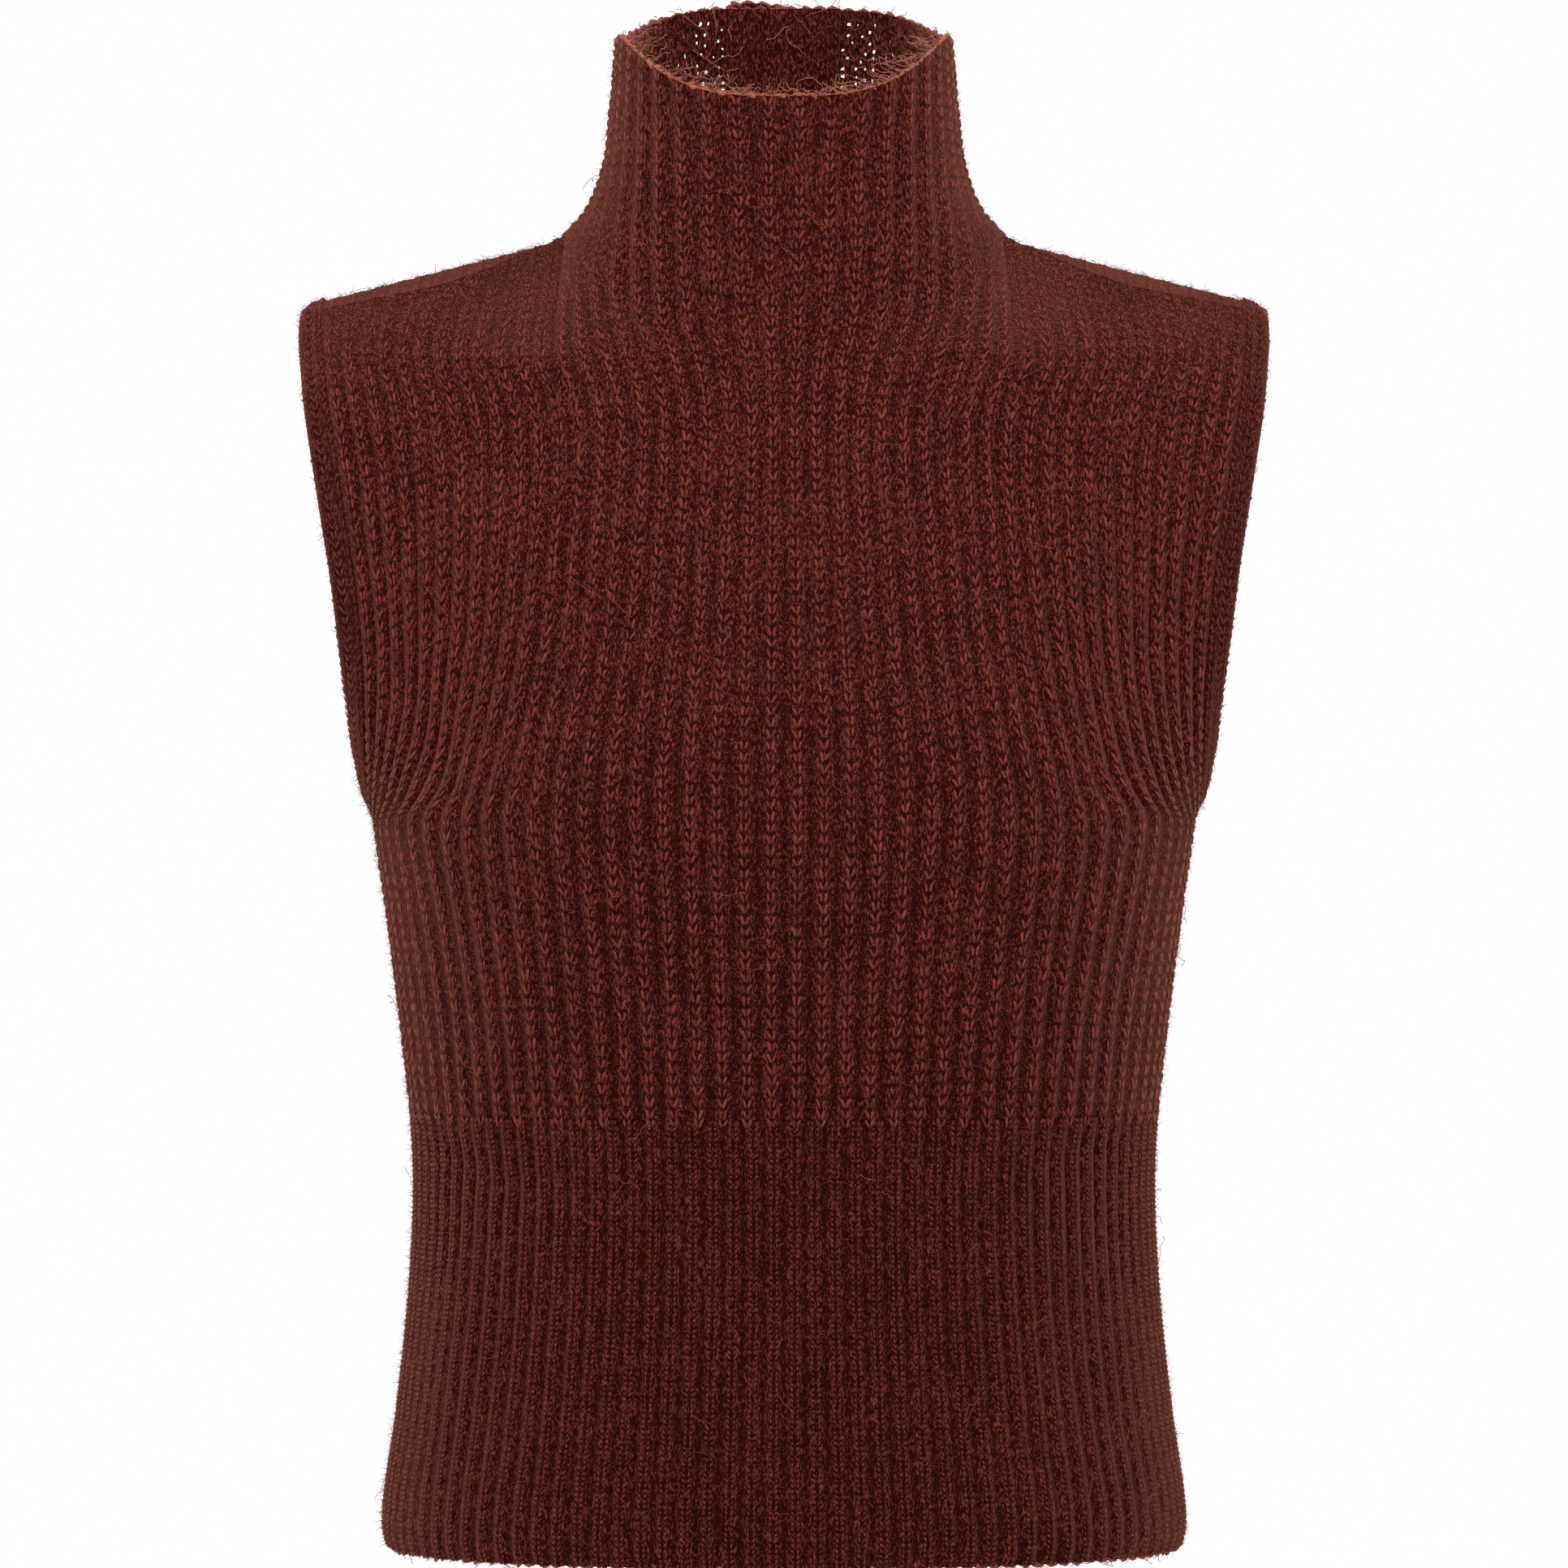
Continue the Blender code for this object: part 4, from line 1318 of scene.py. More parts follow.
class FuzzTree(YarnTree):
    """Loose wool: short fibres that stand and lie on the outside of the cloth."""

    SIZES = {
        "Density": 40000.0, "Length": 0.0055, "Girth": 0.00021, "Bend": 0.0011, "Stand": 0.30,
        "Root": 0.0008, "Seed": 3, "Material": None,
    }
    SHORTEST, LONGEST = 0.35, 1.3  # as shares of the length
    SIDES, RINGS = 3, 2  # faces round a fibre and along it

    def __init__(self) -> None:
        """Builds the tree."""
        super().__init__("fuzz", self.SIZES)
        w, given = self.wire, self.given
        wool = {
            "Mesh": given["Geometry"],
            "Selection": w.attribute("outside", "BOOLEAN"),
            "Density": given["Density"],
            "Seed": given["Seed"],
        }
        spots = w.add("GeometryNodeDistributePointsOnFaces", wool, distribute_method="RANDOM").outputs
        girth, length = given["Girth"], given["Length"]
        fibre = self.spindle(girth, length, self.SIDES, self.RINGS)
        fibre = self.arched(fibre, length, given["Bend"], "X")
        scatter = w.random(-1.0, 1.0, given["Seed"], 3)
        way = w.vector("ADD", scatter, w.scaled(spots["Normal"], given["Stand"]))
        facing = w.out("FunctionNodeAlignRotationToVector", {"Vector": way}, axis="Y")
        growth = w.random(self.SHORTEST, self.LONGEST, w.math("ADD", given["Seed"], 5.0))
        lift = w.scaled(spots["Normal"], w.math("MULTIPLY", given["Root"], growth))
        known = w.stored(spots["Points"], "outward", spots["Normal"], "FLOAT_VECTOR", "POINT")
        raised = w.out("GeometryNodeSetPosition", {"Geometry": known, "Offset": lift})
        placed = w.copies(raised, fibre, facing, growth)
        self.close(w.stored(placed, "tint", w.random(0.0, 1.0, w.math("ADD", given["Seed"], 11.0))))


class CurlTree(YarnTree):
    """Long loose hairs: curled strands that grow from seats along their own way."""

    SIDES, JOINTS = 3, 14  # faces round a hair, and points along it
    APART = 9.0  # how far apart two hairs may lie in the noise that curls them

    def __init__(self) -> None:
        """Builds the tree."""
        sizes = {"Girth": 0.00016, "Curl": 0.013, "Tightness": 230.0, "Seed": 5, "Material": None}
        super().__init__("curls", sizes)
        w, given = self.wire, self.given
        line = w.out("GeometryNodeCurvePrimitiveLine", {"End": (0, 1, 0)})
        line = w.out("GeometryNodeResampleCurve", {"Curve": line, "Count": self.JOINTS})
        way = {"Vector": w.attribute("way")}
        facing = w.out("FunctionNodeAlignRotationToVector", way, axis="Y")
        size = w.add("ShaderNodeSeparateXYZ", {0: w.attribute("size")}).outputs["Y"]
        placed = w.copies(given["Geometry"], line, facing, size)
        placed = w.stored(placed, "tint", w.random(0.0, self.APART, given["Seed"]))
        real = w.out("GeometryNodeRealizeInstances", {"Geometry": placed})
        where = w.scaled(w.out("GeometryNodeInputPosition"), given["Tightness"])
        own = w.out("ShaderNodeCombineXYZ", {"X": w.attribute("tint", "FLOAT")})
        spot = {"Vector": w.vector("ADD", where, own), "Scale": 1.0, "Detail": 1.0}
        swing = w.vector("SUBTRACT", w.add("ShaderNodeTexNoise", spot).outputs["Color"], (0.5, 0.5, 0.5))
        share = w.add("GeometryNodeSplineParameter").outputs["Factor"]
        offset = w.scaled(swing, w.math("MULTIPLY", share, given["Curl"]))
        bent = w.out("GeometryNodeSetPosition", {"Geometry": real, "Offset": offset})
        girth = {"Resolution": self.SIDES, "Radius": given["Girth"]}
        profile = w.out("GeometryNodeCurvePrimitiveCircle", girth)
        tube = w.add("GeometryNodeCurveToMesh", {"Curve": bent, "Profile Curve": profile, "Fill Caps": True})
        self.close(tube.outputs[0])


# ---- Seats for the stitches ----
@dataclass
class Seats:
    """Places for strands of yarn: where each lies, its way, its outward side, and its size."""

    rows: list[tuple[Array, ...]] = field(default_factory=list)

    def add(self, place: Array, way: Array, outward: Array, size: Array) -> None:
        """Adds seats, with their width, length and thickness as their size."""
        self.rows.append(tuple(a.reshape(-1, 3) for a in (place, unit(way), outward, size)))

    def mesh(self, name: str) -> bpy.types.Mesh:
        """The seats as points with their facts as attributes.

        Args:
            name: The name of the piece that they are for.

        Returns:
            The points.
        """
        places, *facts = (np.concatenate(rows) for rows in zip(*self.rows))
        mesh = bpy.data.meshes.new(name + "_seats")
        mesh.from_pydata(places.tolist(), [], [])
        for label, fact in zip(("way", "outward", "size"), facts):
            made = mesh.attributes.new(label, "FLOAT_VECTOR", "POINT")
            made.data.foreach_set("vector", fact.astype(np.float32).ravel())
        return mesh


@dataclass(frozen=True)
class Gauge:
    """How the stitches of one kind of rib lie: each is a V of two slim legs that meet at its foot."""

    spread: float  # width of a V, as a share of its rib's pitch
    widest: float  # and its most
    reach: float  # length of a leg, as a share of a course
    girth: float  # width of a leg
    depth: float  # thickness of a leg
    foot: float  # how far each leg's foot stands from the middle of the rib
    proud: float  # how far the legs stand over the rib
    sides: int
    rings: int
    over_seam: bool = False  # whether one more course lies over the seam below
    seam_drop: float = 0.8  # of a course, from the first one down to that
    fullest: float = 0.42  # the most that a leg's width may be of its V's
    felted_girth: float = 0.45  # the share of its width that a leg keeps where the wool is felted
    felted_length: float = 0.4  # and of its length

    @property
    def faces(self) -> tuple[int, int]:
        """The faces round a leg and along it."""
        return self.sides, self.rings

    def seats(self, knit: Knit) -> Seats:
        """Seats for every leg of a piece.

        Args:
            knit: The piece, with one row of its grid for each course.

        Returns:
            The seats.
        """
        outside = knit.outside()
        middle = np.arange(knit.ribs) * knit.columns + knit.columns // 2
        step = knit.rows
        low, high = outside[:-step:step][:, middle], outside[step::step][:, middle]
        there = knit.cells
        up = (high - low)[there]
        place = ((low + high) / 2)[there]
        edge = knit.points[:-step:step][:, :: knit.columns]
        pitch = np.linalg.norm(np.diff(edge, axis=1), axis=2)[there]
        across = unit(np.diff(edge, axis=1))[there]
        outward = knit.outward[:-step:step][:, middle][there]
        wide = np.minimum(pitch * self.spread, self.widest)[:, None]
        clear = np.ones_like(wide)
        if knit.relief is not None:
            left = knit.relief[:-step:step][:, middle][there][:, None]
            clear = self.felted_girth + (1 - self.felted_girth) * left
        girth = np.minimum(self.girth, wide * self.fullest) * clear
        if self.over_seam:
            first = np.nonzero(np.nonzero(there)[0] == 0)[0]
            place = np.concatenate([place, place[first] - up[first] * self.seam_drop])
            up, across, outward, wide, girth, clear = (
                np.concatenate([a, a[first]]) for a in (up, across, outward, wide, girth, clear)
            )
        head = wide / 2 - girth / 2
        foot = np.minimum(self.foot, head)
        shown = self.felted_length + (1 - self.felted_length) * clear
        made = Seats()
        for side in (-1, 1):
            centre = place + across * side * (head + foot) / 2 + outward * self.proud
            way = up * self.reach + across * side * (head - foot)
            length = np.linalg.norm(way, axis=1, keepdims=True)
            size = np.concatenate([girth, length * shown, self.depth * clear], axis=1)
            made.add(centre, way, outward, size)
        return made


# ---- Finishes ----
class WoolGroups:
    """The shader node groups that the finishes share."""

    RUNS = (12, 72, -52)  # degrees that the three runs of fibres lie at
    TILT = (0.3, 0.2)  # and how far each is turned out of the plane
    SLIM = (1.0, 1.0, 0.30)  # which draws each run's pattern out along its last axis
    CURLS, CLOUDS = 260.0, 38.0  # scales of the noise that bends the fibres, and of the soft patches
    BETWEEN, ON_TOP = 0.55, 0.69  # the pattern's value between two fibres, and on one
    LEG_SLOPE = 1.6  # courses that a leg of a stitch rises for each rib that it crosses

    def __init__(self) -> None:
        """Builds both groups once."""
        self.fibres = self.fibre_group()
        self.ribs = self.rib_group()

    @staticmethod
    def shell(name: str, inputs: dict[str, str], outputs: dict[str, str]) -> Wiring:
        """A new group with its sockets.

        Args:
            name: The group's name.
            inputs: Each input's socket type by name.
            outputs: Each output's socket type by name.

        Returns:
            The wiring of the group.
        """
        group = bpy.data.node_groups.new(name, "ShaderNodeTree")
        for label, kind in inputs.items():
            group.interface.new_socket(label, in_out="INPUT", socket_type=kind)
        for label, kind in outputs.items():
            group.interface.new_socket(label, in_out="OUTPUT", socket_type=kind)
        return Wiring(group)

    def fibre_group(self) -> bpy.types.NodeTree:
        """Fine curled wool fibres that run many ways, as a mask and a height.

        Returns:
            The group.
        """
        number = "NodeSocketFloat"
        inputs = {"Vector": "NodeSocketVector", "Fineness": number, "Curl": number}
        w = self.shell("wool_fibres", inputs, {"Fibres": number, "Clouds": number})
        given = w.add("NodeGroupInput").outputs
        slow = w.add("ShaderNodeTexNoise", {"Vector": given["Vector"], "Scale": self.CURLS, "Detail": 2.0})
        swing = w.scaled(w.vector("SUBTRACT", slow.outputs["Color"], (0.5, 0.5, 0.5)), given["Curl"])
        warped = w.vector("ADD", given["Vector"], swing)
        strands = None
        for turn in self.RUNS:
            angles = Euler((self.TILT[0], math.radians(turn), self.TILT[1]))
            lying = {"Rotation": angles, "Scale": self.SLIM}
            run = w.out("ShaderNodeMapping", {"Vector": warped} | lying)
            grain = {"Vector": run, "Scale": given["Fineness"], "Detail": 1.5}
            noise = w.out("ShaderNodeTexNoise", grain)
            strands = noise if strands is None else w.math("MAXIMUM", strands, noise)
        soft = {"Vector": given["Vector"], "Scale": self.CLOUDS, "Detail": 3.0}
        clouds = w.add("ShaderNodeTexNoise", soft)
        mask = w.ranged(strands, self.BETWEEN, self.ON_TOP)
        w.add("NodeGroupOutput", {"Fibres": mask, "Clouds": clouds.outputs[0]})
        return w.tree

    def rib_group(self) -> bpy.types.NodeTree:
        """The ribs and courses of the knitting from its UV map: a groove mask, and a height of stitches.

        Returns:
            The group.
        """
        outputs = {"Groove": "NodeSocketFloat", "Height": "NodeSocketFloat"}
        w = self.shell("rib_knitting", {"Knitting": "NodeSocketVector"}, outputs)
        given = w.add("NodeGroupInput").outputs
        place = w.add("ShaderNodeSeparateXYZ", {0: given["Knitting"]}).outputs
        turn = w.math("MULTIPLY", place["X"], 2 * math.pi)
        groove = w.math("MULTIPLY_ADD", w.math("COSINE", turn), 0.5, 0.5)
        lean = w.math("ABSOLUTE", w.math("SUBTRACT", w.math("FRACT", place["X"]), 0.5))
        course = w.math("SUBTRACT", place["Y"], w.math("MULTIPLY", lean, self.LEG_SLOPE))
        legs = w.math("ABSOLUTE", w.math("SINE", w.math("MULTIPLY", course, math.pi)))
        w.add("NodeGroupOutput", {"Groove": groove, "Height": legs})
        return w.tree


@dataclass(frozen=True)
class WoolFinish:
    """One finish of the wool: the colour of its lit fibres, and of the shade between them."""

    name: str
    light: Colour
    deep: Colour
    fineness: float = 1300.0
    curl: float = 0.0022
    relief: float = 0.0007
    relief_strength: float = 0.8
    stitch_relief: float = 0.6  # how much higher the stitches of a cloth are than its fibres
    cloth_fibres: float = 0.66  # how strongly the fibres show on a cloth
    clouds: float = 0.40  # and its softer patches
    clouds_low: float = -0.02
    yarn_fibres: float = 0.50  # how strongly the fibres show on a strand
    yarn_low: float = 0.46  # how lit it is between them
    yarn_tints: float = 0.4  # and how much strands differ
    hole_shade: float = 0.45  # how much painted shade darkens the places between the legs of a stitch
    groove: float = 0.33  # and the painted shade in the grooves, above a height
    groove_shade_low: float = 0.50  # and at the waist
    groove_shade_top: float = -0.15
    inside: float = 0.26  # and the painted shade on the inside of the cloth
    roughness: float = 0.92
    sheen: float = 0.12
    sheen_tint: Colour = (1.0, 0.36, 0.27)
    sheen_roughness: float = 0.35
    halo: Colour = (0.400, 0.140, 0.104)  # painted rim light: its loose ends against the light, at its edges
    halo_from: float = 0.18
    halo_share: float = 0.95
    halo_fibres: float = 0.55  # the share of the halo that only the fibres have
    halo_above: float = 0.25  # and the share of it that is left where the cloth faces up

    def cloth(self, groups: WoolGroups) -> Material:
        """The finish on a wall of cloth, which reads its ribs from the UV map.

        Args:
            groups: The shared node groups.

        Returns:
            The material.
        """
        material, w, shader = self.blank(self.name + "_cloth")
        coords = w.add("ShaderNodeTexCoord").outputs["Object"]
        knitting = w.out("ShaderNodeUVMap", uv_map="knitting")
        ribs = w.add("ShaderNodeGroup", {"Knitting": knitting}, node_tree=groups.ribs)
        fibres = self.fibres(w, groups, coords)
        groove = ribs.outputs["Groove"]
        ridge = w.math("SUBTRACT", 1.0, groove)
        # Painted shade: darker on each rib between the legs of its stitches.
        shade = w.math("MULTIPLY", w.math("MULTIPLY", ridge, ridge), self.hole_shade)
        # Painted shade in the grooves, deeper towards the waist.
        height = w.add("ShaderNodeSeparateXYZ", {0: coords}).outputs["Z"]
        depth = w.ranged(height, self.groove_shade_top, WAIST_LINE_Z, self.groove, self.groove_shade_low)
        shade = w.math("MULTIPLY_ADD", w.math("MULTIPLY", groove, groove), depth, shade)
        outside = w.add("ShaderNodeAttribute", attribute_name="outside").outputs["Fac"]
        shade = w.math("MULTIPLY", shade, outside)
        # Painted shade on the inside faces of the wall.
        inside = w.math("MULTIPLY", w.math("SUBTRACT", 1.0, outside), self.inside)
        lit = w.math("MULTIPLY", fibres.outputs["Fibres"], self.cloth_fibres)
        lit = w.math("SUBTRACT", lit, w.math("ADD", shade, inside))
        clouds = w.math("MULTIPLY_ADD", fibres.outputs["Clouds"], self.clouds, self.clouds_low)
        share = w.out("ShaderNodeClamp", {"Value": w.math("ADD", lit, clouds)})
        self.colour(w, shader, share, None)
        relief = w.math("MULTIPLY_ADD", ribs.outputs["Height"], self.stitch_relief, fibres.outputs["Fibres"])
        self.bump(w, shader, relief)
        return material

    def yarn(self, groups: WoolGroups) -> Material:
        """The finish on strands of yarn, which each have their own tint.

        Args:
            groups: The shared node groups.

        Returns:
            The material.
        """
        material, w, shader = self.blank(self.name + "_yarn")
        coords = w.add("ShaderNodeTexCoord").outputs["Object"]
        tint = w.add("ShaderNodeAttribute", attribute_name="tint").outputs["Fac"]
        fibres = self.fibres(w, groups, coords)
        lit = w.math("MULTIPLY_ADD", fibres.outputs["Fibres"], self.yarn_fibres, self.yarn_low)
        share = w.math("MULTIPLY_ADD", w.math("SUBTRACT", tint, 0.5), self.yarn_tints, lit)
        share = w.out("ShaderNodeClamp", {"Value": share})
        outward = w.add("ShaderNodeAttribute", attribute_name="outward").outputs["Vector"]
        self.colour(w, shader, share, outward)
        self.bump(w, shader, fibres.outputs["Fibres"])
        return material

    def blank(self, name: str) -> tuple[Material, Wiring, bpy.types.Node]:
        """A new material with the finish's constant values on its shader.

        Args:
            name: The material's name.

        Returns:
            The material, its wiring and its shader.
        """
        material = bpy.data.materials.new(name)
        material.use_nodes = True
        w = Wiring(material.node_tree)
        shader = material.node_tree.nodes["Principled BSDF"]
        shader.inputs["Roughness"].default_value = self.roughness
        shader.inputs["Specular IOR Level"].default_value = 0.0
        shader.inputs["Sheen Weight"].default_value = self.sheen
        shader.inputs["Sheen Roughness"].default_value = self.sheen_roughness
        shader.inputs["Sheen Tint"].default_value = (*self.sheen_tint, 1)
        return material, w, shader

    def fibres(self, w: Wiring, groups: WoolGroups, coords: Socket) -> bpy.types.Node:
        """The fibre group, at this finish's scale."""
        inputs = {"Vector": coords, "Fineness": self.fineness, "Curl": self.curl}
        return w.add("ShaderNodeGroup", inputs, node_tree=groups.fibres)

    def colour(self, w: Wiring, shader: bpy.types.Node, share: Socket, outward: Socket | None) -> None:
        """Mixes from the deep colour to the lit one, and to a painted rim light, the halo, where the cloth
        turns away.

        Args:
            w: The material's wiring.
            shader: Its shader.
            share: How lit each spot is.
            outward: The way that the cloth under a strand faces, or None on the cloth itself.
        """
        plain = w.mixed(share, (*self.deep, 1), (*self.light, 1))
        # Painted rim light: the colour turns to the halo at grazing angles, less where the cloth faces up.
        weight = w.add("ShaderNodeLayerWeight", {"Blend": 0.5} | ({"Normal": outward} if outward else {}))
        edge = w.ranged(weight.outputs["Facing"], self.halo_from, 1.0, 0.0, self.halo_share)
        way = outward or w.add("ShaderNodeNewGeometry").outputs["Normal"]
        up = w.add("ShaderNodeSeparateXYZ", {0: way}).outputs["Z"]
        left = w.ranged(up, 0.0, 1.0, 1.0, self.halo_above)
        loose = w.math("MULTIPLY_ADD", share, self.halo_fibres, 1 - self.halo_fibres)
        glow = w.math("MULTIPLY", w.math("MULTIPLY", edge, left), loose)
        w.tree.links.new(w.mixed(glow, plain, (*self.halo, 1)), shader.inputs["Base Color"])

    def bump(self, w: Wiring, shader: bpy.types.Node, height: Socket) -> None:
        """Raises the surface by a height."""
        inputs = {"Height": height, "Distance": self.relief, "Strength": self.relief_strength}
        w.tree.links.new(w.out("ShaderNodeBump", inputs), shader.inputs["Normal"])


BODY_WOOL = WoolFinish("body_wool", light=(0.256, 0.0500, 0.0385), deep=(0.020, 0.0034, 0.0028))
WAIST_WOOL = WoolFinish("waist_wool", light=(0.242, 0.0460, 0.0355), deep=(0.019, 0.0032, 0.0026))
BAND_WOOL = WoolFinish("band_wool", light=(0.200, 0.041, 0.032), deep=(0.026, 0.0048, 0.0038))
RIM_WOOL = WoolFinish("rim_wool", light=(0.380, 0.115, 0.062), deep=(0.140, 0.034, 0.020))
HEM_WOOL = WoolFinish("hem_wool", light=(0.240, 0.060, 0.040), deep=(0.050, 0.0110, 0.0080))
# The seams' yarn is the body's wool painted dark: painted shade deep in the seams.
SEAM_WOOL = WoolFinish(
    "seam_wool", light=(0.090, 0.0170, 0.0130), deep=(0.020, 0.0034, 0.0028), halo_share=0.2
)
HAIR_WOOL = WoolFinish("hair_wool", light=(0.420, 0.165, 0.115), deep=(0.200, 0.065, 0.045))
FUZZ_WOOL = WoolFinish("fuzz_wool", light=(0.270, 0.062, 0.046), deep=(0.080, 0.016, 0.012), halo_share=0.3)


# ---- Dressing ----
@dataclass
class Wardrobe:
    """Everything that dresses a piece: the trees, the groups and the finishes' materials."""

    groups: WoolGroups = field(init=False)
    fuzz: FuzzTree = field(init=False)
    curls: CurlTree = field(init=False)
    stitches: dict[tuple[int, int], StitchTree] = field(default_factory=dict)
    materials: dict[str, Material] = field(default_factory=dict)

    def __post_init__(self) -> None:
        """Builds the shared groups and trees."""
        self.groups = WoolGroups()
        self.fuzz = FuzzTree()
        self.curls = CurlTree()

    def kept(self, key: str, make: Callable[[WoolGroups], Material]) -> Material:
        """A material that is made when it is first asked for."""
        self.materials[key] = self.materials.get(key) or make(self.groups)
        return self.materials[key]

    def cloth(self, finish: WoolFinish) -> Material:
        """A finish's material for walls of cloth."""
        return self.kept(finish.name + "_cloth", finish.cloth)

    def yarn(self, finish: WoolFinish) -> Material:
        """A finish's material for strands of yarn."""
        return self.kept(finish.name + "_yarn", finish.yarn)

    def stitch(
        self, name: str, seats: Seats, faces: tuple[int, int], finish: WoolFinish, **values: object
    ) -> Piece:
        """Makes the strands on some seats.

        Args:
            name: The piece's name.
            seats: Where the strands lie.
            faces: The faces round a strand and along it.
            finish: The yarn's finish.
            values: Inputs of the tree by name.

        Returns:
            The piece.
        """
        if faces not in self.stitches:
            self.stitches[faces] = StitchTree(*faces)
        values |= {"Material": self.yarn(finish)}
        return self.stitches[faces].apply(name, seats.mesh(name), values)

    def hairs(self, name: str, seats: Seats, finish: WoolFinish, **values: object) -> Piece:
        """Makes curled hairs on some seats, with inputs of their tree by name."""
        return self.curls.apply(name, seats.mesh(name), values | {"Material": self.yarn(finish)})

    def fluff(self, name: str, cloth: Piece, finish: WoolFinish, **values: object) -> Piece:
        """Makes the loose wool on the outside of a cloth, with inputs of its tree by name."""
        return self.fuzz.apply(name, cloth.data.copy(), values | {"Material": self.yarn(finish)})


def settle(piece: Piece, slot: str, *nodes: str) -> None:
    """Makes a piece ride on the vest's one body.

    Args:
        piece: The piece.
        slot: Its material slot, which is not used.
        nodes: The nodes of the solids that it replaces, if any.
    """
    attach(piece, "root")
    if nodes:
        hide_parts(*nodes)
    LOG.info("%s: %d faces", piece.name, len(piece.data.polygons))


BODY_GAUGE = Gauge(
    spread=0.52, widest=0.0049, reach=0.94, girth=0.00140, depth=0.00110, foot=0.00035, proud=0.00010,
    sides=4, rings=3, over_seam=True,
)
WAIST_GAUGE = Gauge(
    spread=0.60, widest=0.0047, reach=0.95, girth=0.00125, depth=0.00100, foot=0.00070, proud=0.00010,
    sides=3, rings=2,
)
BAND_GAUGE = Gauge(
    spread=0.80, widest=0.0034, reach=0.95, girth=0.00110, depth=0.00090, foot=0.00030, proud=0.00005,
    sides=3, rings=3,
)


@dataclass
class Dressed:
    """A knitted piece with all that lies on it."""

    knit: Knit
    nodes: tuple[str, ...]
    gauge: Gauge
    finish: WoolFinish
    slot: str
    flat: tuple[float, float]
    area: float
    stride: int
    fuzz_density: float
    seed: int
    wall_rows: int = 1

    def build(self, wardrobe: Wardrobe) -> None:
        """Args:
            wardrobe: The trees and materials.
        """
        name = self.knit.name
        grid = self.knit if self.wall_rows == 1 else coarser(self.knit, self.wall_rows)
        wall = WallBuilder(grid, self.stride).build(wardrobe.cloth(self.finish))
        seats = self.gauge.seats(self.knit)
        stitches = wardrobe.stitch(name + "_stitches", seats, self.gauge.faces, self.finish, Seed=self.seed)
        fuzz = wardrobe.fluff(name + "_fuzz", wall, FUZZ_WOOL, Density=self.fuzz_density, Seed=self.seed)
        settle(wall, self.slot, *self.nodes)
        settle(stitches, self.slot)
        settle(fuzz, self.slot)


@dataclass(frozen=True)
class Edging:
    """A rolled edge of loops along an open edge of the cloth, with loose hairs on it."""

    FACES: ClassVar[tuple[int, int]] = (5, 4)  # round a loop and along it

    name: str
    slot: str
    finish: WoolFinish
    spacing: float = 0.0033
    girth: float = 0.0023
    lean: float = 0.55
    twist: float = 0.4  # of the lean, how much also goes out of the cloth
    overlap: float = 1.55  # a loop's length, as a share of the spacing
    uneven: float = 0.3  # how much loops wander and differ in size
    hairs: int = 60
    longest: float = 0.0120
    spread: float = 1.0  # the share of the edge's length that has hairs
    rise: float = 0.35  # how far its hairs stand up from it
    inwards: float = 0.0  # and lean in
    sink: float = 0.0002
    shortest: float = 0.4  # as a share of the longest

    def build(self, wardrobe: Wardrobe, edge: Array, outward: Array, up: int, seed: int) -> None:
        """Makes the edge.

        Args:
            wardrobe: The trees and materials.
            edge: The middle of the wall along the edge.
            outward: The way that the cloth faces there.
            up: 1 at a top edge and -1 at a hem.
            seed: Of its loops and hairs.
        """
        count = int(round(length_of(edge) / self.spacing))
        at = (np.arange(count) + 0.5) / count
        place, face = along(edge, at), unit(along(edge, at, outward))
        run = unit(np.gradient(place, axis=0))
        side = np.array((0, 0, up))
        swing = np.where(np.arange(count) % 2 == 0, 1, -1)[:, None] * self.lean
        seats = Seats()
        way = run + side * swing + face * swing * self.twist
        length = np.full((count, 1), self.spacing * self.overlap)
        thick = np.full((count, 1), self.girth)
        seats.add(place - side * self.sink, way, np.cross(run, way), np.hstack([thick, length, thick]))
        values = {"Seed": seed, "Wander": self.uneven, "Uneven": self.uneven}
        loops = wardrobe.stitch(self.name + "_loops", seats, self.FACES, self.finish, **values)
        settle(loops, self.slot)
        if self.hairs:
            random, each = np.random.default_rng(seed), (self.hairs, 1)
            at = 0.5 + random.uniform(-0.5, 0.5, self.hairs) * self.spread
            roots, face = along(edge, at), unit(along(edge, at, outward))
            lying = unit(np.cross(face, (0, 0, 1))) * random.choice((-1, 1), each)
            scatter = random.uniform(-0.5, 0.5, (self.hairs, 3))
            way = scatter + lying + side * self.rise - face * self.inwards
            seats = Seats()
            sizes = random.uniform(self.shortest, 1, each) * np.full((1, 3), self.longest)
            seats.add(roots, way, face, sizes)
            settle(wardrobe.hairs(self.name + "_hairs", seats, HAIR_WOOL, Seed=seed), self.slot)


def middle_of_wall(knit: Knit, row: int, columns: slice = slice(None)) -> tuple[Array, Array]:
    """The middle of a piece's wall along one row of its grid, and the way that the cloth faces there."""
    outward = knit.outward[row, columns]
    return knit.points[row, columns] + outward * (RIB_RISE / 2 - WALL) / 2, outward


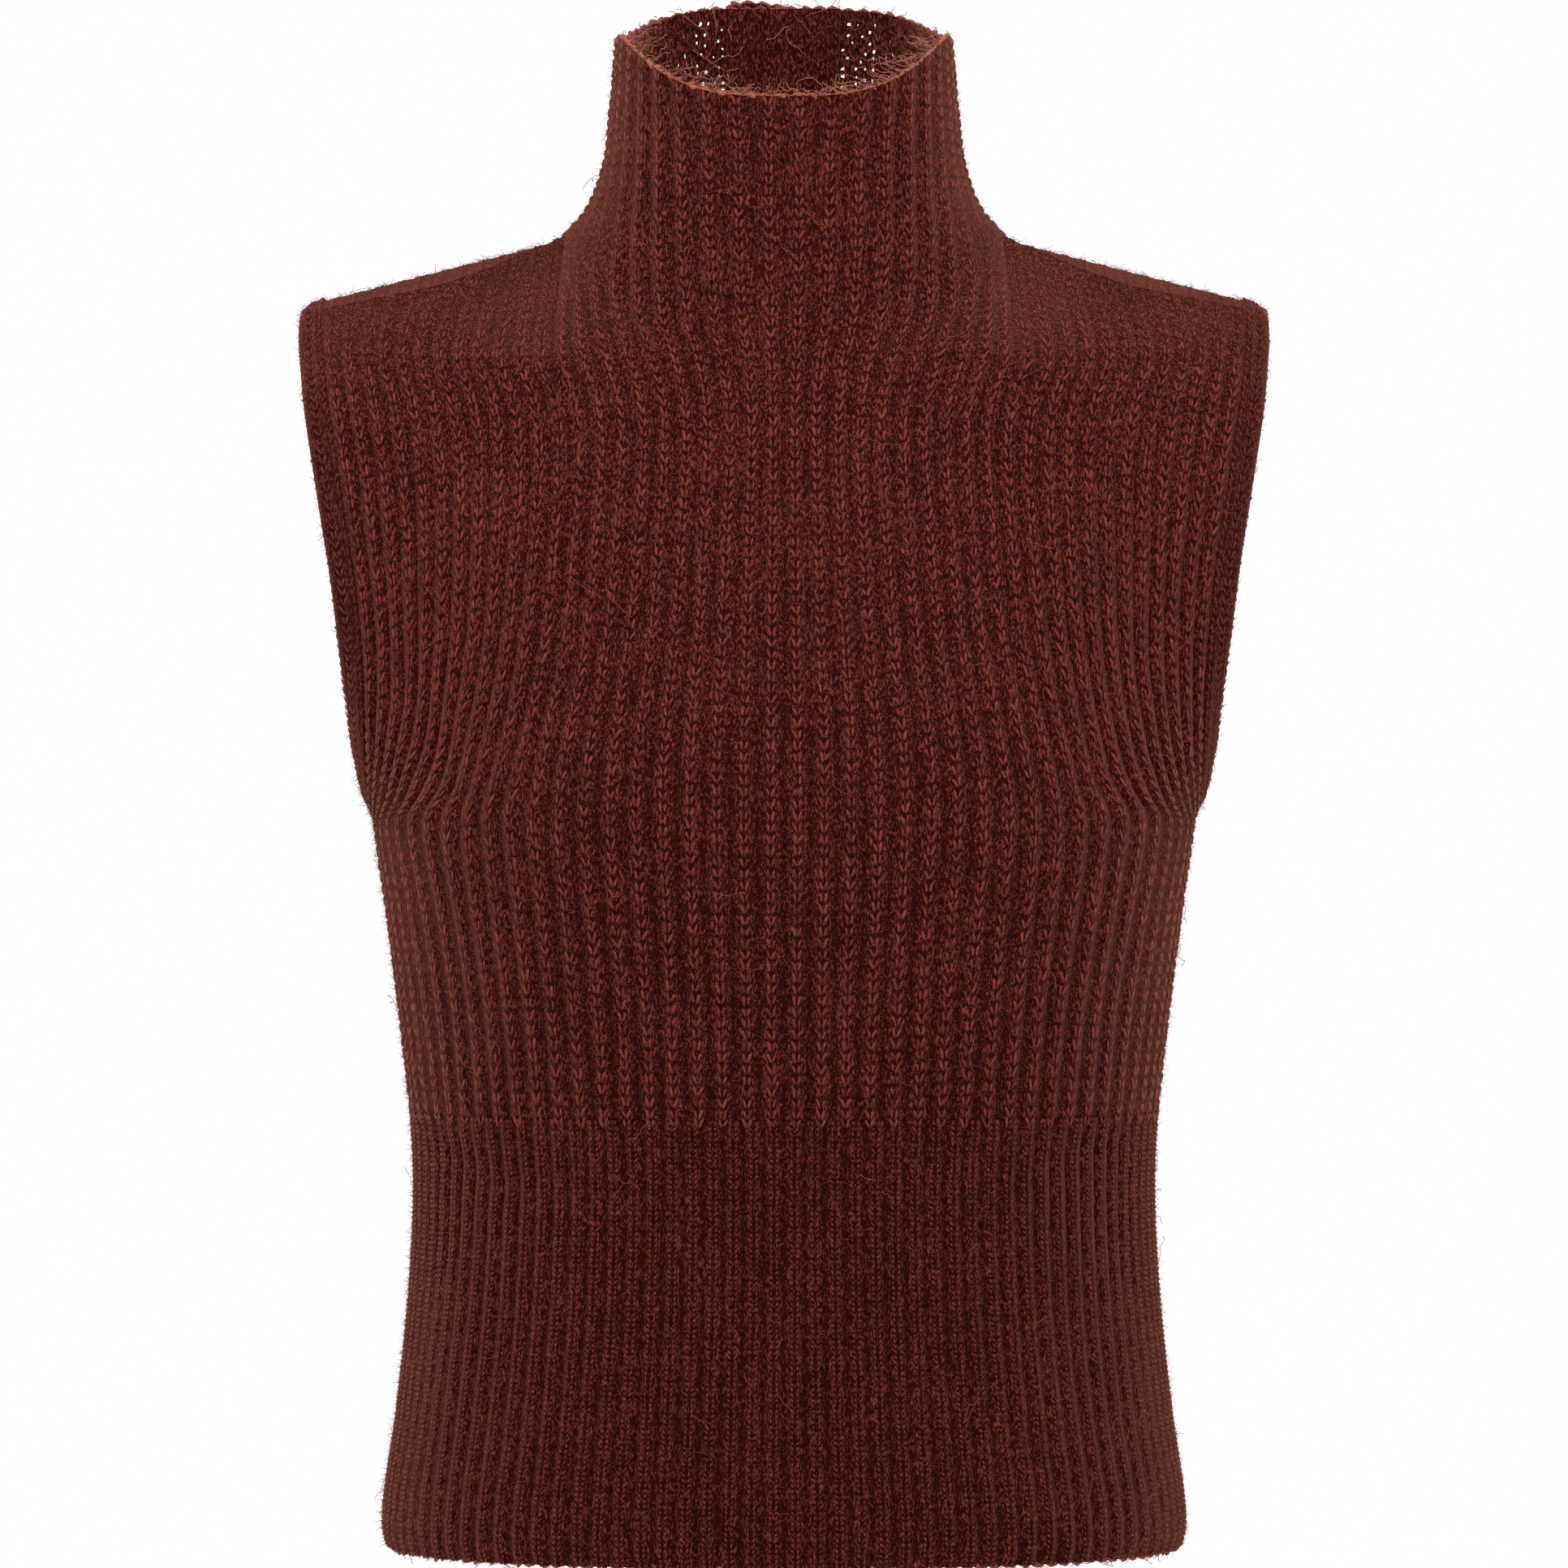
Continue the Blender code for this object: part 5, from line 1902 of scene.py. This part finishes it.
def sew(wardrobe: Wardrobe, panels: BodyPanels, waists: list[Knit], necks: list[Knit]) -> None:
    """Makes the yarn that joins the pieces, sunk into each seam from the inside.

    Args:
        wardrobe: The trees and materials.
        panels: The front and the back.
        waists: Both halves of the fine rib.
        necks: Both halves of the back of the neck.
    """
    front, top, side = panels.front, panels.body_courses, panels.side
    deep = 0.55  # of the wall, from its outside in to the yarn
    runs = {
        "shoulder_right": (front, (top, slice(0, side + 1))),
        "shoulder_left": (front, (top, slice(-side - 1, None))),
    }
    for name, edge in (("right", 0), ("left", -1)):
        under = int(np.argmax(front.points[: top + 1, edge, 1] < -2 * SIDE))
        runs["side_" + name] = (front, (slice(0, under), edge))
        runs["waist_side_" + name] = (waists[0], (slice(None), edge))
    for knit in waists:
        runs[knit.name + "_join"] = (knit, (-1, slice(None)))
    for knit in necks:
        runs[knit.name + "_join"] = (knit, (0, slice(None)))
        outer = 0 if knit is necks[0] else -1
        runs[knit.name + "_side"] = (knit, (slice(None), outer))
    for seed, (name, (knit, place)) in enumerate(runs.items(), 50):
        outward = knit.outward[place]
        edge = knit.points[place] - outward * (WALL * deep)
        cord = Edging(
            name + "_seam", "body_knit", SEAM_WOOL, spacing=0.0040, girth=0.0015, lean=0.12,
            hairs=0, sink=0.0,
        )
        cord.build(wardrobe, edge, outward, 1, seed)


@dataclass(frozen=True)
class StrayHairs:
    """Long loose hairs that lie over a piece."""

    count: int
    longest: float
    shortest: float = 0.45  # as a share of the longest
    clear: float = 0.0008  # of the ribs
    lift: float = 0.15  # how much they point away from the cloth
    girth: float = 0.00013

    def build(self, wardrobe: Wardrobe, knit: Knit, slot: str, seed: int) -> None:
        """Makes the hairs.

        Args:
            wardrobe: The trees and materials.
            knit: The piece.
            slot: Its material slot.
            seed: Of the hairs' places and shapes.
        """
        random, each = np.random.default_rng(seed), (self.count, 1)
        rows, ribs = np.nonzero(knit.cells)
        picked = random.choice(len(rows), self.count)
        row, column = rows[picked] * knit.rows, ribs[picked] * knit.columns + knit.columns // 2
        outward = knit.outward[row, column]
        place = knit.outside()[row, column] + outward * self.clear
        way = unit(np.cross(outward, random.uniform(-1, 1, (self.count, 3)))) + outward * self.lift
        sizes = random.uniform(self.shortest, 1, each) * np.full((1, 3), self.longest)
        seats = Seats()
        seats.add(place, way, outward, sizes)
        name = knit.name + "_stray_hairs"
        settle(wardrobe.hairs(name, seats, FUZZ_WOOL, Seed=seed, Girth=self.girth), slot)


@dataclass(frozen=True)
class InnerHairs:
    """Long curly hairs that hang inside the back of the neck."""

    count: int = 14  # in each half
    longest: float = 0.026
    shortest: float = 0.3  # as a share of the longest
    clear: float = 2 * WALL + RIB_RISE + 2 * SEAM_GAP + 0.0006  # in from a half's grid, past both walls
    spread_in: float = 0.2  # how much they spread from front to back, as a share of the other ways
    lift: float = 0.1  # how much they point away from the cloth
    lowest: int = 3  # tenths of the neck's height up to their lowest root
    curl: float = 0.030
    tightness: float = 110.0
    seed: int = 40

    def build(self, wardrobe: Wardrobe, necks: list[Knit]) -> None:
        """Makes the hairs of both halves as one piece.

        Args:
            wardrobe: The trees and materials.
            necks: Both halves of the back of the neck.
        """
        seats, each = Seats(), (self.count, 1)
        for seed, knit in enumerate(necks, self.seed):
            random = np.random.default_rng(seed)
            rows, columns = knit.points.shape[:2]
            from_lap = random.integers(2, columns // 2, self.count)
            lap_first = abs(knit.points[0, 0, 0]) < abs(knit.points[0, -1, 0])
            column = from_lap if lap_first else columns - 1 - from_lap
            row = random.integers(rows * self.lowest // 10, rows - 2, self.count)
            inwards = -knit.outward[row, column]
            place = knit.points[row, column] + inwards * self.clear
            way = random.uniform(-1, 1, (self.count, 3)) * (1, self.spread_in, 1) + inwards * self.lift
            sizes = random.uniform(self.shortest, 1, each) * np.full((1, 3), self.longest)
            seats.add(place, way, inwards, sizes)
        values = {"Seed": self.seed, "Curl": self.curl, "Tightness": self.tightness}
        settle(wardrobe.hairs("neck_inside_hairs", seats, HAIR_WOOL, **values), "body_knit")


def edges_and_hairs(wardrobe: Wardrobe, panels: BodyPanels, waists: list[Knit], necks: list[Knit]) -> None:
    """Makes the rolled edges of the neck and the hem, and the loose hairs.

    Args:
        wardrobe: The trees and materials.
        panels: The front and the back.
        waists: Both halves of the fine rib.
        necks: Both halves of the back of the neck.
    """
    rim = Edging(
        "neck_rim_front", "body_knit", RIM_WOOL, hairs=240, longest=0.0170, spread=0.80, rise=0.22,
        inwards=0.6,
    )
    edge, outward = middle_of_wall(panels.front, -1, slice(panels.side, -panels.side))
    rim.build(wardrobe, edge, outward, 1, 21)
    for seed, knit in enumerate(necks, 22):
        rim = Edging(knit.name + "_rim", "body_knit", BODY_WOOL, girth=0.0024, hairs=24, longest=0.0050)
        rim.build(wardrobe, *middle_of_wall(knit, -1), 1, seed)
    for seed, knit in enumerate(waists, 24):
        hem = Edging(knit.name + "_hem", "waist_knit", HEM_WOOL, girth=0.0022, hairs=110, longest=0.0065)
        hem.build(wardrobe, *middle_of_wall(knit, 0), -1, seed)
    StrayHairs(count=70, longest=0.020).build(wardrobe, panels.front, "body_knit", 26)
    StrayHairs(count=60, longest=0.020).build(wardrobe, panels.back, "body_knit", 27)
    StrayHairs(count=26, longest=0.014).build(wardrobe, waists[0], "waist_knit", 28)
    StrayHairs(count=22, longest=0.014).build(wardrobe, waists[1], "waist_knit", 29)
    InnerHairs().build(wardrobe, necks)


@dataclass(frozen=True)
class Lamp:
    """A soft area light."""

    name: str
    place: Point
    power: float
    size: float


@dataclass(frozen=True)
class Studio:
    """The camera at the photo's angle, soft light all round, and a plain pale floor out of the frame."""

    distance: float = 3.5
    height: float = -0.2434
    field: float = 0.6955  # seen across the frame at the vest's middle
    sensor: float = 36.0
    floor_z: float = -1.0
    floor_half: float = 1.5
    ambient: float = 0.70  # of the light from above
    from_below: float = 0.64  # and the share of it that comes from below
    lamps: tuple[Lamp, ...] = (
        Lamp("key", (-0.05, -1.6, 1.3), power=46.0, size=1.3),
        Lamp("fill", (0.2, -2.6, 0.6), power=6.0, size=1.8),
        Lamp("back", (0.1, 2.3, 1.5), power=36.0, size=1.8),
    )
    aim: Point = (0, 0, -0.2)  # the vest's chest
    floor_colour: Colour = (0.9, 0.9, 0.9)

    def build(self) -> None:
        """Sets up the camera, the world, the lights and the floor."""
        scene = bpy.context.scene
        scene.view_settings.view_transform = "Standard"
        data = bpy.data.cameras.new("camera")
        data.sensor_width = self.sensor
        data.lens = self.sensor * self.distance / self.field
        camera = bpy.data.objects.new("camera", data)
        camera.location = (0, -self.distance, self.height)
        camera.rotation_euler = (math.radians(90), 0, 0)
        scene.collection.objects.link(camera)
        scene.camera = camera
        self.world()
        for lamp in self.lamps:
            self.light(lamp)
        self.floor()

    def world(self) -> None:
        """Even white light, which the camera sees as pure white."""
        world = bpy.data.worlds.new("studio")
        world.use_nodes = True
        w = Wiring(world.node_tree)
        world.node_tree.nodes.clear()
        seen = w.add("ShaderNodeBackground", {"Color": (1, 1, 1, 1), "Strength": 1.0})
        way = w.add("ShaderNodeSeparateXYZ", {0: w.add("ShaderNodeTexCoord").outputs["Generated"]})
        strength = w.ranged(way.outputs["Z"], -1.0, 1.0, self.ambient * self.from_below, self.ambient)
        light = w.add("ShaderNodeBackground", {"Color": (1, 1, 1, 1), "Strength": strength})
        ray = w.add("ShaderNodeLightPath").outputs["Is Camera Ray"]
        mix = w.add("ShaderNodeMixShader", {0: ray, 1: light.outputs[0], 2: seen.outputs[0]})
        w.add("ShaderNodeOutputWorld", {"Surface": mix.outputs[0]})
        bpy.context.scene.world = world

    def light(self, lamp: Lamp) -> None:
        """Puts up a light that faces the vest.

        Args:
            lamp: The light.
        """
        data = bpy.data.lights.new(lamp.name, "AREA")
        data.energy = lamp.power
        data.size = lamp.size
        light = bpy.data.objects.new(lamp.name, data)
        light.location = lamp.place
        away = np.array(lamp.place) - self.aim
        flat = math.hypot(away[0], away[1])
        light.rotation_euler = (math.atan2(flat, away[2]), 0, math.atan2(away[0], -away[1]))
        bpy.context.scene.collection.objects.link(light)

    def floor(self) -> None:
        """A plain pale floor."""
        h, z = self.floor_half, self.floor_z
        mesh = bpy.data.meshes.new("floor")
        mesh.from_pydata([(-h, -h, z), (h, -h, z), (h, h, z), (-h, h, z)], [], [(0, 1, 2, 3)])
        material = bpy.data.materials.new("floor")
        material.use_nodes = True
        shader = material.node_tree.nodes["Principled BSDF"]
        shader.inputs["Base Color"].default_value = (*self.floor_colour, 1)
        mesh.materials.append(material)
        new_object("floor", mesh)


def main() -> None:
    """Builds the vest's pieces in order, then the studio."""
    logging.basicConfig(level=logging.INFO, format="%(name)s: %(message)s")
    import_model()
    wardrobe = Wardrobe()
    panels = BodyPanels()
    Dressed(
        panels.front, ("front_panel_upper", "front_panel_lower"), BODY_GAUGE, BODY_WOOL, "body_knit",
        flat=(0.49, 0.46), area=0.165, stride=4, fuzz_density=110000.0, seed=1,
    ).build(wardrobe)
    Dressed(
        panels.back, ("back_panel_upper", "back_panel_lower"), BODY_GAUGE, BODY_WOOL, "body_knit",
        flat=(0.48, 0.41), area=0.160, stride=4, fuzz_density=80000.0, seed=2,
    ).build(wardrobe)
    waists = [WaistHalf(half).knit() for half in Half]
    for seed, knit in enumerate(waists, 3):
        Dressed(
            knit, (knit.name,), WAIST_GAUGE, WAIST_WOOL, "waist_knit",
            flat=(0.46, 0.193), area=0.082, stride=4, fuzz_density=90000.0, seed=seed, wall_rows=3,
        ).build(wardrobe)
    necks = list(NeckBack().halves())
    for seed, knit in enumerate(necks, 5):
        Dressed(
            knit, (knit.name,), BODY_GAUGE, BODY_WOOL, "body_knit",
            flat=(0.13, 0.106), area=0.0115, stride=1, fuzz_density=90000.0, seed=seed,
        ).build(wardrobe)
    sew(wardrobe, panels, waists, necks)
    edges_and_hairs(wardrobe, panels, waists, necks)
    for seed, wearer in enumerate(Wearer, 7):
        ArmholeBand(wearer).build(panels, wardrobe, seed)
    Studio().build()


if __name__ == "__main__":
    main()
